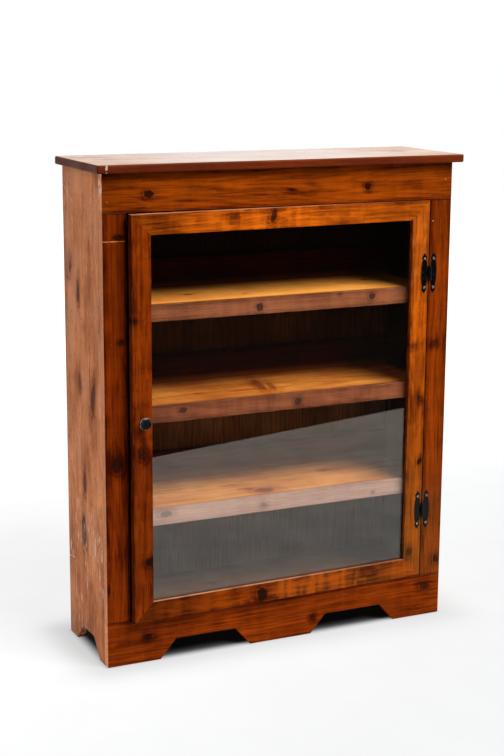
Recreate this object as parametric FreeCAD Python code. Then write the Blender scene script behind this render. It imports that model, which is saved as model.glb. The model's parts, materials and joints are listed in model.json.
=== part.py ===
# Pine display cabinet with one glazed door on surface hinges, in millimetres.
# +Z is up and the front faces -Y. The pieces are laid out with the front of the face frame at
# y = 0 and with the door shut. The door's pieces are then turned about the hinge pins to the
# ajar rest position, and everything is moved along Y so that the origin is under the middle.

import FreeCAD, Part
import math
import os

from FreeCAD import Placement, Rotation, Vector

# Carcass
BODY_WIDTH = 900.0
BODY_DEPTH = 265.0
BODY_HEIGHT = 1151.0
SIDE_THICKNESS = 19.0
BOARD_EASE = 0.8

# Top board
TOP_THICKNESS = 19.0
TOP_SIDE_OVERHANG = 17.0
TOP_FRONT_OVERHANG = 25.0
TOP_EDGE_RADIUS = 4.0

# Face frame
FACE_THICKNESS = 19.0
TOP_RAIL_HEIGHT = 89.0
BOTTOM_RAIL_HEIGHT = 107.0
STILE_WIDTH = 57.0

# Feet, cut into the bottom rail and the side panels
OUTER_FOOT_WIDTH = 133.0
MIDDLE_FOOT_WIDTH = 164.0
FOOT_SLOPE = 40.0
FOOT_HEIGHT = 46.0
FOOT_CORNER_RADIUS = 4.0
SIDE_FOOT_DEPTH = 52.0
SIDE_FOOT_SLOPE = 42.0

# Bottom board, which stands a little above the bottom rail as a stop for the door
BOTTOM_THICKNESS = 19.0
STOP_LIP = 5.0

# Thin strip behind the face frame that stops the free edge of the door
STRIP_REACH = 18.0
STRIP_LAP = 18.0

# Shelves, measured from the floor to their upper faces
LOWER_SHELF_TOP = 363.0
MIDDLE_SHELF_TOP = 610.0
UPPER_SHELF_TOP = 847.5
SHELF_THICKNESS = 19.0
SHELF_END_GAP = 0.5
SHELF_SETBACK = 3.0
EDGING_THICKNESS = 12.0
EDGING_HEIGHT = 39.0
BACK_RAIL_THICKNESS = 12.0
BACK_RAIL_HEIGHT = 72.0
CLEAT_THICKNESS = 19.0
CLEAT_HEIGHT = 19.0
CLEAT_BACK_GAP = 2.0

# Back panel, let into the side panels
BACK_THICKNESS = 4.0
BACK_REBATE_WIDTH = 9.0
BACK_EDGE_GAP = 0.5

# Door
DOOR_SIDE_GAP = 2.0
DOOR_TOP_GAP = 2.0
DOOR_BOTTOM_GAP = 1.5
DOOR_STOP_GAP = 1.0
DOOR_MEMBER_WIDTH = 47.0
DOOR_EASE = 1.2
DOOR_LIP = 9.0
DOOR_AJAR_DEGREES = 1.94
GLASS_THICKNESS = 3.0
GLASS_REBATE_WIDTH = 9.0
GLASS_EDGE_GAP = 1.5
BEAD_SETBACK = 0.5
BEAD_CHAMFER = 3.0
SPLINE_LENGTH = 36.0
SPLINE_WIDTH = 20.0
SPLINE_THICKNESS = 4.0

# Hinges, whose middles are measured from the top and the bottom of the door
UPPER_HINGE_DROP = 177.0
LOWER_HINGE_RISE = 174.0
LEAF_THICKNESS = 2.0
LEAF_WIDTH = 15.0
LEAF_BOW = 1.5
LEAF_HEIGHT = 98.0
LEAF_BODY_HEIGHT = 48.0
LEAF_WAIST = 2.2
LEAF_WAIST_HEIGHT = 15.0
LEAF_OFFSET = 6.0
LEAF_EASE = 0.5
BARREL_RADIUS = 4.5
BARREL_HEIGHT = 36.0
BARREL_WOOD_GAP = 0.4
KNUCKLE_GAP = 0.4
PIN_RADIUS = 2.0
PIN_GAP = 0.05
PIN_HEAD_RADIUS = 3.4
PIN_HEAD_HEIGHT = 2.2
HINGE_SCREW_SPACING = 71.0
HINGE_SCREW_LENGTH = 15.0
HINGE_SCREW_RADIUS = 1.6
HINGE_SCREW_HEAD_RADIUS = 3.4
HINGE_SCREW_CROWN = 0.8
HINGE_SCREW_SLOT_WIDTH = 0.9
HINGE_SCREW_SLOT_DEPTH = 0.7
HINGE_SCREW_TURNS = (12.0, 68.0, -24.0, 40.0)

# Knob
KNOB_HEIGHT = 588.8
KNOB_RADIUS = 14.5
KNOB_LENGTH = 20.0
KNOB_BASE_RADIUS = 8.0
KNOB_BASE_HEIGHT = 2.0
KNOB_NECK_RADIUS = 5.5
KNOB_WAIST_RADIUS = 5.0
KNOB_DISC_THICKNESS = 7.5
KNOB_RIM_WIDTH = 2.6
KNOB_DISH = 0.9
KNOB_SCREW_RADIUS = 2.0
KNOB_SCREW_HEAD_RADIUS = 3.8
KNOB_SCREW_BITE = 9.0

# Magnetic catch on the bottom board and its strike plate on the door
CATCH_INSET = 60.0
CATCH_LENGTH = 44.0
CATCH_DEPTH = 15.0
CATCH_HEIGHT = 13.0
CATCH_WALL = 3.0
CATCH_EAR_LENGTH = 10.0
CATCH_EAR_THICKNESS = 2.5
CATCH_GAP = 0.4
POLE_THICKNESS = 1.2
POLE_REACH = 0.6
STRIKE_LENGTH = 40.0
STRIKE_HEIGHT = 10.0
STRIKE_THICKNESS = 1.2
CATCH_SCREW_RADIUS = 1.5
CATCH_SCREW_HEAD_RADIUS = 2.8
CATCH_SCREW_LENGTH = 13.0

# Cleat screws
CLEAT_SCREW_RADIUS = 2.0
CLEAT_SCREW_HEAD_RADIUS = 4.0
CLEAT_SCREW_BITE = 10.0
CLEAT_SCREW_END = 45.0

# Nails and brads
NAIL_RADIUS = 1.2
NAIL_HEAD_RADIUS = 1.9
NAIL_HEAD_HEIGHT = 1.5
NAIL_BITE = 28.0
NAIL_EDGE = 22.0
STILE_NAILS = 3
TOP_SIDE_NAILS = 3
TOP_RAIL_NAILS = 3
BACK_NAIL_RADIUS = 0.8
BACK_NAIL_HEAD_RADIUS = 2.4
BACK_NAIL_HEAD_HEIGHT = 0.8
BACK_NAIL_BITE = 16.0
BACK_SIDE_NAILS = 5
BACK_BOTTOM_NAILS = 4
BRAD_RADIUS = 0.6
BRAD_HEAD_RADIUS = 0.9
BRAD_HEAD_HEIGHT = 0.8
BRAD_LENGTH = 20.0
BRAD_END = 70.0
BRADS_PER_BEAD = 4

# Fits of fasteners in their holes, and the overshoot of a cutting tool past a face
FASTENER_GAP = 0.06
CUT_MARGIN = 2.0

# Places that follow from the sizes above
HALF_WIDTH = BODY_WIDTH / 2
INNER_HALF = HALF_WIDTH - SIDE_THICKNESS
SIDE_CENTRE = HALF_WIDTH - SIDE_THICKNESS / 2
BACK_FRONT = BODY_DEPTH - BACK_THICKNESS
STILE_BOTTOM = BOTTOM_RAIL_HEIGHT
STILE_TOP = BODY_HEIGHT - TOP_RAIL_HEIGHT
TOP_FACE = BODY_HEIGHT + TOP_THICKNESS
BOTTOM_TOP = BOTTOM_RAIL_HEIGHT + STOP_LIP
BOTTOM_UNDERSIDE = BOTTOM_TOP - BOTTOM_THICKNESS
SHELF_FRONT = FACE_THICKNESS + SHELF_SETBACK
SHELF_BOARD_FRONT = SHELF_FRONT + EDGING_THICKNESS
SHELF_BOARD_BACK = BACK_FRONT - BACK_RAIL_THICKNESS
SHELF_HALF = INNER_HALF - SHELF_END_GAP
CLEAT_BACK = BACK_FRONT - CLEAT_BACK_GAP
DOOR_THICKNESS = FACE_THICKNESS - DOOR_STOP_GAP
DOOR_RIGHT = HALF_WIDTH - STILE_WIDTH - DOOR_SIDE_GAP
DOOR_LEFT = -DOOR_RIGHT
DOOR_BOTTOM = BOTTOM_RAIL_HEIGHT + DOOR_BOTTOM_GAP
DOOR_TOP = STILE_TOP - DOOR_TOP_GAP
BEAD_FRONT = DOOR_LIP + GLASS_THICKNESS
PIN_X = DOOR_RIGHT + DOOR_SIDE_GAP / 2
PIN_Y = -(BARREL_RADIUS + BARREL_WOOD_GAP)
KNOB_X = DOOR_LEFT + DOOR_MEMBER_WIDTH / 2
CATCH_X = DOOR_LEFT + CATCH_INSET
POLE_FRONT = DOOR_THICKNESS + STRIKE_THICKNESS + CATCH_GAP
CATCH_FRONT = POLE_FRONT + POLE_REACH
STRIKE_CENTRE = BOTTOM_TOP + CATCH_HEIGHT / 2

SHELVES = {
    "upper": UPPER_SHELF_TOP,
    "middle": MIDDLE_SHELF_TOP,
    "lower": LOWER_SHELF_TOP,
}
HINGES = {"upper": DOOR_TOP - UPPER_HINGE_DROP, "lower": DOOR_BOTTOM + LOWER_HINGE_RISE}
SIDES = {"left": -1, "right": 1}


def box(x, y, z):
    """Box between (low, high) pairs."""
    return Part.makeBox(x[1] - x[0], y[1] - y[0], z[1] - z[0], Vector(x[0], y[0], z[0]))


def board(x, y, z):
    """Box with all its edges eased."""
    raw = box(x, y, z)
    return raw.makeFillet(BOARD_EASE, raw.Edges)


def mirrored(low, high, side):
    """The span from low to high, mirrored about x = 0 where side is -1."""
    return sorted((side * low, side * high))


def spread(low, high, count):
    """Evenly spaced places from low to high, ends included."""
    step = (high - low) / (count - 1)
    return [low + step * index for index in range(count)]


def outline(points, lift):
    """Closed wire through flat points. A point (a, b, (c, d)) is reached by an arc through (c, d)."""
    edges = []
    for start, end in zip(points, points[1:] + points[:1]):
        first = lift(start[0], start[1])
        last = lift(end[0], end[1])
        if len(end) == 3:
            edges.append(Part.Arc(first, lift(*end[2]), last).toShape())
        else:
            edges.append(Part.makeLine(first, last))
    return Part.Wire(edges)


def prism(points, lift, travel):
    """Solid swept from a flat outline along a vector."""
    solid = Part.Face(outline(points, lift)).extrude(travel)
    if solid.Volume < 0:
        solid.reverse()
    return solid


def turned(points, base, direction):
    """Solid of revolution of (radius, distance) points about the line from base along direction."""
    face = Part.Face(outline(points, lambda radius, along: Vector(radius, 0, along)))
    solid = face.revolve(Vector(0, 0, 0), Vector(0, 0, 1), 360)
    if solid.Volume < 0:
        solid.reverse()
    solid.Placement = Placement(base, Rotation(Vector(0, 0, 1), direction))
    return solid


def cap_middle(radius, height):
    """Halfway point of the arc of a ball's cap of this base radius and height, as (radius, height)."""
    ball = (radius ** 2 + height ** 2) / (2 * height)
    half_angle = math.atan2(radius, ball - height) / 2
    return ball * math.sin(half_angle), ball * math.cos(half_angle) - (ball - height)


def cut(shape, tools):
    """One solid left after the tools are cut away."""
    return shape.cut(tools).Solids[0]


def eased(shape, radius, chosen):
    """The shape with the edges that chosen accepts rounded."""
    return shape.makeFillet(radius, [edge for edge in shape.Edges if chosen(edge)])


def nail(radius, head_radius, head_height, length, base, direction, gap):
    """Flat-headed nail driven from base. With a gap it is the hole's cutting tool instead."""
    mouth = -CUT_MARGIN if gap else 0.0
    head = head_radius + gap
    shank = radius + gap
    points = [(0, mouth), (head, mouth), (head, head_height), (shank, head_height),
              (shank, length - radius), (0, length + gap)]
    return turned(points, base, direction)


def screw(radius, head_radius, length, crown, base, direction, gap):
    """Countersunk screw with a crowned head. With a gap it is the hole's cutting tool instead."""
    head = head_radius + gap
    shank = radius + gap
    depth = head - shank
    tail = [(shank, depth), (shank, length - radius), (0, length + gap)]
    if gap:
        points = [(0, -CUT_MARGIN), (head, -CUT_MARGIN), (head, 0)] + tail
    elif crown:
        out, up = cap_middle(head, crown)
        points = [(0, -crown), (head, 0, (out, -up))] + tail
    else:
        points = [(0, 0), (head, 0)] + tail
    return turned(points, base, direction)


# Fasteners: each function makes the fasteners themselves, or with a gap the tools for their holes


def face_nails(gap=0.0):
    """Nails through the face frame into the front edges of the side panels."""
    heights = [BODY_HEIGHT - NAIL_EDGE, STILE_TOP + NAIL_EDGE]
    heights += [BOTTOM_RAIL_HEIGHT - NAIL_EDGE, NAIL_EDGE]
    heights += spread(STILE_BOTTOM + 2 * NAIL_EDGE, STILE_TOP - 2 * NAIL_EDGE, STILE_NAILS)
    return [nail(NAIL_RADIUS, NAIL_HEAD_RADIUS, NAIL_HEAD_HEIGHT, FACE_THICKNESS + NAIL_BITE,
                 Vector(side * SIDE_CENTRE, 0, height), Vector(0, 1, 0), gap)
            for side in SIDES.values() for height in heights]


def top_nails(gap=0.0):
    """Nails down through the top board into the side panels and the top rail."""
    first = FACE_THICKNESS + NAIL_BITE + NAIL_EDGE
    last = BACK_FRONT - BACK_NAIL_BITE - NAIL_EDGE
    spots = [(side * SIDE_CENTRE, depth)
             for side in SIDES.values() for depth in spread(first, last, TOP_SIDE_NAILS)]
    inner = INNER_HALF - 2 * NAIL_EDGE
    spots += [(across, FACE_THICKNESS / 2) for across in spread(-inner, inner, TOP_RAIL_NAILS)]
    return [nail(NAIL_RADIUS, NAIL_HEAD_RADIUS, NAIL_HEAD_HEIGHT, TOP_THICKNESS + NAIL_BITE,
                 Vector(across, depth, TOP_FACE), Vector(0, 0, -1), gap)
            for across, depth in spots]


def back_nails(gap=0.0):
    """Nails through the back panel into the side panels and the bottom board."""
    across = INNER_HALF + BACK_REBATE_WIDTH / 2
    heights = spread(BOTTOM_TOP + NAIL_EDGE, BODY_HEIGHT - NAIL_BITE - NAIL_EDGE, BACK_SIDE_NAILS)
    spots = [(side * across, height) for side in SIDES.values() for height in heights]
    inner = INNER_HALF - 2 * NAIL_EDGE
    middle = BOTTOM_TOP - BOTTOM_THICKNESS / 2
    spots += [(place, middle) for place in spread(-inner, inner, BACK_BOTTOM_NAILS)]
    return [nail(BACK_NAIL_RADIUS, BACK_NAIL_HEAD_RADIUS, BACK_NAIL_HEAD_HEIGHT,
                 BACK_THICKNESS + BACK_NAIL_BITE, Vector(place, BODY_DEPTH, height), Vector(0, -1, 0), gap)
            for place, height in spots]


def cleat_tops():
    """Upper faces of all cleats, by name: those of the shelves and of the bottom board."""
    tops = {name: top - SHELF_THICKNESS for name, top in SHELVES.items()}
    tops["floor"] = BOTTOM_UNDERSIDE
    return tops


def cleat_front(name):
    """Front end of a cleat, behind the shelf's edging or the bottom rail."""
    return FACE_THICKNESS if name == "floor" else SHELF_BOARD_FRONT


def cleat_screws(gap=0.0):
    """Screws through the cleats into the side panels."""
    made = []
    for name, top in cleat_tops().items():
        for side in SIDES.values():
            for depth in (cleat_front(name) + CLEAT_SCREW_END, CLEAT_BACK - CLEAT_SCREW_END):
                base = Vector(side * (INNER_HALF - CLEAT_THICKNESS), depth, top - CLEAT_HEIGHT / 2)
                made.append(screw(CLEAT_SCREW_RADIUS, CLEAT_SCREW_HEAD_RADIUS,
                                  CLEAT_THICKNESS + CLEAT_SCREW_BITE, 0.0, base, Vector(side, 0, 0), gap))
    return made


def screw_slot(base, turn):
    """Tool that cuts the slot in the crown of a hinge screw, turned by this many degrees."""
    reach = HINGE_SCREW_HEAD_RADIUS + CUT_MARGIN
    half = HINGE_SCREW_SLOT_WIDTH / 2
    top = base.y - HINGE_SCREW_CROWN
    slot = box((base.x - reach, base.x + reach), (top - CUT_MARGIN, top + HINGE_SCREW_SLOT_DEPTH),
               (base.z - half, base.z + half))
    slot.rotate(base, Vector(0, 1, 0), turn)
    return slot


def hinge_screws(side, gap=0.0):
    """Slotted screws of both hinge leaves on the frame (side 1) or on the door (side -1)."""
    across = PIN_X + side * (LEAF_OFFSET + (LEAF_WIDTH - LEAF_BOW) / 2)
    ends = (-HINGE_SCREW_SPACING / 2, HINGE_SCREW_SPACING / 2)
    spots = [Vector(across, -LEAF_THICKNESS, middle + end) for middle in HINGES.values() for end in ends]
    made = [screw(HINGE_SCREW_RADIUS, HINGE_SCREW_HEAD_RADIUS, HINGE_SCREW_LENGTH, HINGE_SCREW_CROWN,
                  spot, Vector(0, 1, 0), gap) for spot in spots]
    if gap:
        return made
    return [cut(one, [screw_slot(spot, turn)]) for one, spot, turn in zip(made, spots, HINGE_SCREW_TURNS)]


def knob_screw(gap=0.0):
    """Screw from the back of the door's left stile into the knob."""
    return screw(KNOB_SCREW_RADIUS, KNOB_SCREW_HEAD_RADIUS, DOOR_THICKNESS + KNOB_SCREW_BITE, 0.0,
                 Vector(KNOB_X, DOOR_THICKNESS, KNOB_HEIGHT), Vector(0, -1, 0), gap)


def catch_screws(gap=0.0):
    """Screws down through the ears of the catch into the bottom board."""
    reach = (CATCH_LENGTH + CATCH_EAR_LENGTH) / 2
    middle = CATCH_FRONT + CATCH_DEPTH / 2
    ear_top = BOTTOM_TOP + CATCH_EAR_THICKNESS
    return [screw(CATCH_SCREW_RADIUS, CATCH_SCREW_HEAD_RADIUS, CATCH_SCREW_LENGTH, 0.0,
                  Vector(CATCH_X + side * reach, middle, ear_top), Vector(0, 0, -1), gap)
            for side in SIDES.values()]


def strike_screw(gap=0.0):
    """Screw through the strike plate into the door's bottom rail."""
    return screw(CATCH_SCREW_RADIUS, CATCH_SCREW_HEAD_RADIUS, CATCH_SCREW_LENGTH, 0.0,
                 Vector(CATCH_X, DOOR_THICKNESS + STRIKE_THICKNESS, STRIKE_CENTRE), Vector(0, -1, 0), gap)


# Carcass


def top_board():
    raw = box((-HALF_WIDTH - TOP_SIDE_OVERHANG, HALF_WIDTH + TOP_SIDE_OVERHANG),
              (-TOP_FRONT_OVERHANG, BODY_DEPTH), (BODY_HEIGHT, TOP_FACE))
    rounded = eased(raw, TOP_EDGE_RADIUS, lambda edge: edge.BoundBox.YMin < BODY_DEPTH - CUT_MARGIN)
    return cut(rounded, top_nails(FASTENER_GAP))


def side_panel(side):
    """Side panel with its foot notch, the rebate for the back panel and its fastener holes."""
    panel = board(mirrored(INNER_HALF, HALF_WIDTH, side), (FACE_THICKNESS, BODY_DEPTH), (0, BODY_HEIGHT))
    back_foot = BODY_DEPTH - SIDE_FOOT_DEPTH
    flare = SIDE_FOOT_SLOPE * CUT_MARGIN / FOOT_HEIGHT
    notch = prism([(SIDE_FOOT_DEPTH - flare, -CUT_MARGIN), (SIDE_FOOT_DEPTH + SIDE_FOOT_SLOPE, FOOT_HEIGHT),
                   (back_foot - SIDE_FOOT_SLOPE, FOOT_HEIGHT), (back_foot + flare, -CUT_MARGIN)],
                  lambda depth, height: Vector(-HALF_WIDTH - CUT_MARGIN, depth, height),
                  Vector(BODY_WIDTH + 2 * CUT_MARGIN, 0, 0))
    rebate = box(mirrored(INNER_HALF - CUT_MARGIN, INNER_HALF + BACK_REBATE_WIDTH, side),
                 (BACK_FRONT, BODY_DEPTH + CUT_MARGIN), (BOTTOM_UNDERSIDE, BODY_HEIGHT + CUT_MARGIN))
    holes = face_nails(FASTENER_GAP) + top_nails(FASTENER_GAP)
    holes += back_nails(FASTENER_GAP) + cleat_screws(FASTENER_GAP)
    return cut(panel, [notch, rebate] + holes)


def face_top_rail():
    rail = board((-HALF_WIDTH, HALF_WIDTH), (0, FACE_THICKNESS), (STILE_TOP, BODY_HEIGHT))
    return cut(rail, face_nails(FASTENER_GAP) + top_nails(FASTENER_GAP))


def face_stile(side):
    stile = board(mirrored(HALF_WIDTH - STILE_WIDTH, HALF_WIDTH, side), (0, FACE_THICKNESS),
                  (STILE_BOTTOM, STILE_TOP))
    return cut(stile, face_nails(FASTENER_GAP) + hinge_screws(1, FASTENER_GAP))


def face_bottom_rail():
    """Bottom rail with a cut-out on each side of its middle foot and rounded outer corners."""
    inner = MIDDLE_FOOT_WIDTH / 2
    outer = HALF_WIDTH - OUTER_FOOT_WIDTH
    radius = FOOT_CORNER_RADIUS
    turn = radius * (1 - math.sqrt(0.5))
    points = [(-HALF_WIDTH, BOTTOM_RAIL_HEIGHT), (-HALF_WIDTH, radius),
              (-HALF_WIDTH + radius, 0, (-HALF_WIDTH + turn, turn)),
              (-outer, 0), (-outer + FOOT_SLOPE, FOOT_HEIGHT),
              (-inner - FOOT_SLOPE, FOOT_HEIGHT), (-inner, 0),
              (inner, 0), (inner + FOOT_SLOPE, FOOT_HEIGHT),
              (outer - FOOT_SLOPE, FOOT_HEIGHT), (outer, 0),
              (HALF_WIDTH - radius, 0), (HALF_WIDTH, radius, (HALF_WIDTH - turn, turn)),
              (HALF_WIDTH, BOTTOM_RAIL_HEIGHT)]
    raw = prism(points, lambda across, height: Vector(across, 0, height), Vector(0, FACE_THICKNESS, 0))
    rail = eased(raw, BOARD_EASE, lambda edge: edge.BoundBox.YMax < FACE_THICKNESS / 2)
    return cut(rail, face_nails(FASTENER_GAP))


def bottom_board():
    raw = board((-INNER_HALF, INNER_HALF), (FACE_THICKNESS, BACK_FRONT), (BOTTOM_UNDERSIDE, BOTTOM_TOP))
    return cut(raw, back_nails(FASTENER_GAP) + catch_screws(FASTENER_GAP))


def back_panel():
    half = INNER_HALF + BACK_REBATE_WIDTH - BACK_EDGE_GAP
    raw = box((-half, half), (BACK_FRONT, BODY_DEPTH), (BOTTOM_UNDERSIDE, BODY_HEIGHT))
    return cut(raw, back_nails(FASTENER_GAP))


def door_stop_strip():
    """Strip glued behind the left stile, as thick as the space in front of the shelves."""
    edge = STILE_WIDTH - HALF_WIDTH
    return box((edge - STRIP_LAP, edge + STRIP_REACH), (FACE_THICKNESS, SHELF_FRONT),
               (BOTTOM_TOP, STILE_TOP + STRIP_LAP))


def shelf_board(top):
    return board((-SHELF_HALF, SHELF_HALF), (SHELF_BOARD_FRONT, SHELF_BOARD_BACK),
                 (top - SHELF_THICKNESS, top))


def shelf_edging(top):
    return board((-SHELF_HALF, SHELF_HALF), (SHELF_FRONT, SHELF_BOARD_FRONT), (top - EDGING_HEIGHT, top))


def shelf_back_rail(top):
    """Rail glued to the back edge of a shelf, which stands up from it against the back panel."""
    return board((-SHELF_HALF, SHELF_HALF), (SHELF_BOARD_BACK, BACK_FRONT),
                 (top - SHELF_THICKNESS, top + BACK_RAIL_HEIGHT))


def cleat(name, top, side):
    raw = board(mirrored(INNER_HALF - CLEAT_THICKNESS, INNER_HALF, side), (cleat_front(name), CLEAT_BACK),
                (top - CLEAT_HEIGHT, top))
    return cut(raw, cleat_screws(FASTENER_GAP))


# Magnetic catch


def catch_housing():
    """Catch body with two ears and an open-fronted pocket for the magnet and its pole plates."""
    depth = (CATCH_FRONT, CATCH_FRONT + CATCH_DEPTH)
    half = CATCH_LENGTH / 2
    body = box((CATCH_X - half, CATCH_X + half), depth, (BOTTOM_TOP, BOTTOM_TOP + CATCH_HEIGHT))
    reach = half + CATCH_EAR_LENGTH
    ears = box((CATCH_X - reach, CATCH_X + reach), depth, (BOTTOM_TOP, BOTTOM_TOP + CATCH_EAR_THICKNESS))
    inner = catch_pocket()
    pocket = box(inner[0], (CATCH_FRONT - CUT_MARGIN, inner[1][1]), inner[2])
    return cut(body.fuse(ears).removeSplitter(), [pocket] + catch_screws(FASTENER_GAP))


def catch_pocket():
    """Spans of the pocket in the catch, from the pole plates' front edges to its back wall."""
    half = CATCH_LENGTH / 2 - CATCH_WALL
    return ((CATCH_X - half, CATCH_X + half), (POLE_FRONT, CATCH_FRONT + CATCH_DEPTH - CATCH_WALL),
            (BOTTOM_TOP + CATCH_WALL, BOTTOM_TOP + CATCH_HEIGHT - CATCH_WALL))


def catch_pole_plates():
    across, depth, height = catch_pocket()
    return [box(across, depth, (height[0], height[0] + POLE_THICKNESS)),
            box(across, depth, (height[1] - POLE_THICKNESS, height[1]))]


def catch_magnet():
    across, depth, height = catch_pocket()
    return box(across, (CATCH_FRONT, depth[1]), (height[0] + POLE_THICKNESS, height[1] - POLE_THICKNESS))


def catch_strike_plate():
    half = STRIKE_LENGTH / 2
    raw = box((CATCH_X - half, CATCH_X + half), (DOOR_THICKNESS, DOOR_THICKNESS + STRIKE_THICKNESS),
              (STRIKE_CENTRE - STRIKE_HEIGHT / 2, STRIKE_CENTRE + STRIKE_HEIGHT / 2))
    return cut(raw, strike_screw(FASTENER_GAP))


# Door frame: each side has its outer corner, the way it runs, the way inwards and its length

DOOR_WIDTH = DOOR_RIGHT - DOOR_LEFT
DOOR_HEIGHT = DOOR_TOP - DOOR_BOTTOM
DOOR_SIDES = {
    "left": (Vector(DOOR_LEFT, 0, DOOR_BOTTOM), Vector(0, 0, 1), Vector(1, 0, 0), DOOR_HEIGHT),
    "right": (Vector(DOOR_RIGHT, 0, DOOR_BOTTOM), Vector(0, 0, 1), Vector(-1, 0, 0), DOOR_HEIGHT),
    "top": (Vector(DOOR_LEFT, 0, DOOR_TOP), Vector(1, 0, 0), Vector(0, 0, -1), DOOR_WIDTH),
    "bottom": (Vector(DOOR_LEFT, 0, DOOR_BOTTOM), Vector(1, 0, 0), Vector(0, 0, 1), DOOR_WIDTH),
}


def mitred_strip(side, section):
    """Strip along one side of the door with a section of (inwards, depth) points and mitred ends."""
    corner, run, inwards, length = DOOR_SIDES[side]
    strip = prism(section, lambda across, depth: corner + inwards * across + Vector(0, depth, 0),
                  run * length)
    reach = DOOR_MEMBER_WIDTH + CUT_MARGIN
    wedges = []
    for start, way in ((corner, run), (corner + run * length, run * -1)):
        wedge = prism([(-CUT_MARGIN, -CUT_MARGIN), (reach, reach), (-CUT_MARGIN, reach)],
                      lambda along, across: start + way * along + inwards * across - Vector(0, CUT_MARGIN, 0),
                      Vector(0, DOOR_THICKNESS + 2 * CUT_MARGIN, 0))
        wedges.append(wedge)
    return cut(strip, wedges)


def door_member(side, holes):
    """One member of the door frame, rebated at the back for the glass."""
    run = DOOR_SIDES[side][1]
    rebate = DOOR_MEMBER_WIDTH - GLASS_REBATE_WIDTH
    section = [(0, 0), (DOOR_MEMBER_WIDTH, 0), (DOOR_MEMBER_WIDTH, DOOR_LIP), (rebate, DOOR_LIP),
               (rebate, DOOR_THICKNESS), (0, DOOR_THICKNESS)]

    def front_edge(edge):
        along = edge.Vertexes[1].Point - edge.Vertexes[0].Point
        return edge.BoundBox.YMax < DOOR_LIP / 2 and abs(along.dot(run)) > DOOR_MEMBER_WIDTH * 2

    return cut(eased(mitred_strip(side, section), DOOR_EASE, front_edge), holes)


def glazing_bead(side):
    rebate = DOOR_MEMBER_WIDTH - GLASS_REBATE_WIDTH
    inner = DOOR_MEMBER_WIDTH - BEAD_SETBACK
    section = [(rebate, BEAD_FRONT), (inner, BEAD_FRONT), (inner, DOOR_THICKNESS - BEAD_CHAMFER),
               (inner - BEAD_CHAMFER, DOOR_THICKNESS), (rebate, DOOR_THICKNESS)]
    return cut(mitred_strip(side, section), bead_brads(side, FASTENER_GAP))


def bead_brads(side, gap=0.0):
    """Brads from the inner face of a glazing bead into the door member behind it."""
    corner, run, inwards, length = DOOR_SIDES[side]
    depth = (BEAD_FRONT + DOOR_THICKNESS - BEAD_CHAMFER) / 2
    start = corner + inwards * (DOOR_MEMBER_WIDTH - BEAD_SETBACK) + Vector(0, depth, 0)
    return [nail(BRAD_RADIUS, BRAD_HEAD_RADIUS, BRAD_HEAD_HEIGHT, BRAD_LENGTH,
                 start + run * place, inwards * -1, gap)
            for place in spread(BRAD_END, length - BRAD_END, BRADS_PER_BEAD)]


def mitre_splines():
    """Flat keys let into the mitres, across each corner of the door."""
    made = []
    middle = DOOR_MEMBER_WIDTH / 2
    for x_way, corner_x in ((1, DOOR_LEFT), (-1, DOOR_RIGHT)):
        for z_way, corner_z in ((1, DOOR_BOTTOM), (-1, DOOR_TOP)):
            along = Vector(x_way, 0, z_way).normalize() * (SPLINE_WIDTH / 2)
            across = Vector(x_way, 0, -z_way).normalize() * (SPLINE_LENGTH / 2)
            front = (DOOR_LIP - SPLINE_THICKNESS) / 2
            centre = Vector(corner_x + x_way * middle, front, corner_z + z_way * middle)
            made.append(prism([(1, 1), (1, -1), (-1, -1), (-1, 1)],
                              lambda a, b: centre + along * a + across * b, Vector(0, SPLINE_THICKNESS, 0)))
    return made


def door_glass():
    inset = DOOR_MEMBER_WIDTH - GLASS_REBATE_WIDTH + GLASS_EDGE_GAP
    return box((DOOR_LEFT + inset, DOOR_RIGHT - inset), (DOOR_LIP, BEAD_FRONT),
               (DOOR_BOTTOM + inset, DOOR_TOP - inset))


def door_knob():
    """Round knob: a base, a waisted neck and a disc with a raised rim round a dished face."""
    bore = KNOB_SCREW_RADIUS + FASTENER_GAP
    bore_depth = KNOB_SCREW_BITE + FASTENER_GAP
    disc_back = KNOB_LENGTH - KNOB_DISC_THICKNESS
    disc_middle = KNOB_LENGTH - KNOB_DISC_THICKNESS / 2
    rim_inner = KNOB_RADIUS - 2 * KNOB_RIM_WIDTH
    face = KNOB_LENGTH - KNOB_DISH
    points = [(bore, 0), (KNOB_BASE_RADIUS, 0), (KNOB_BASE_RADIUS, KNOB_BASE_HEIGHT),
              (KNOB_NECK_RADIUS, disc_back, (KNOB_WAIST_RADIUS, disc_back / 2)),
              (KNOB_RADIUS - KNOB_RIM_WIDTH, disc_back),
              (KNOB_RADIUS - KNOB_RIM_WIDTH, KNOB_LENGTH, (KNOB_RADIUS, disc_middle)),
              (rim_inner, face), (0, face), (0, bore_depth), (bore, bore_depth)]
    return turned(points, Vector(KNOB_X, 0, KNOB_HEIGHT), Vector(0, -1, 0))


# Hinges


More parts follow.
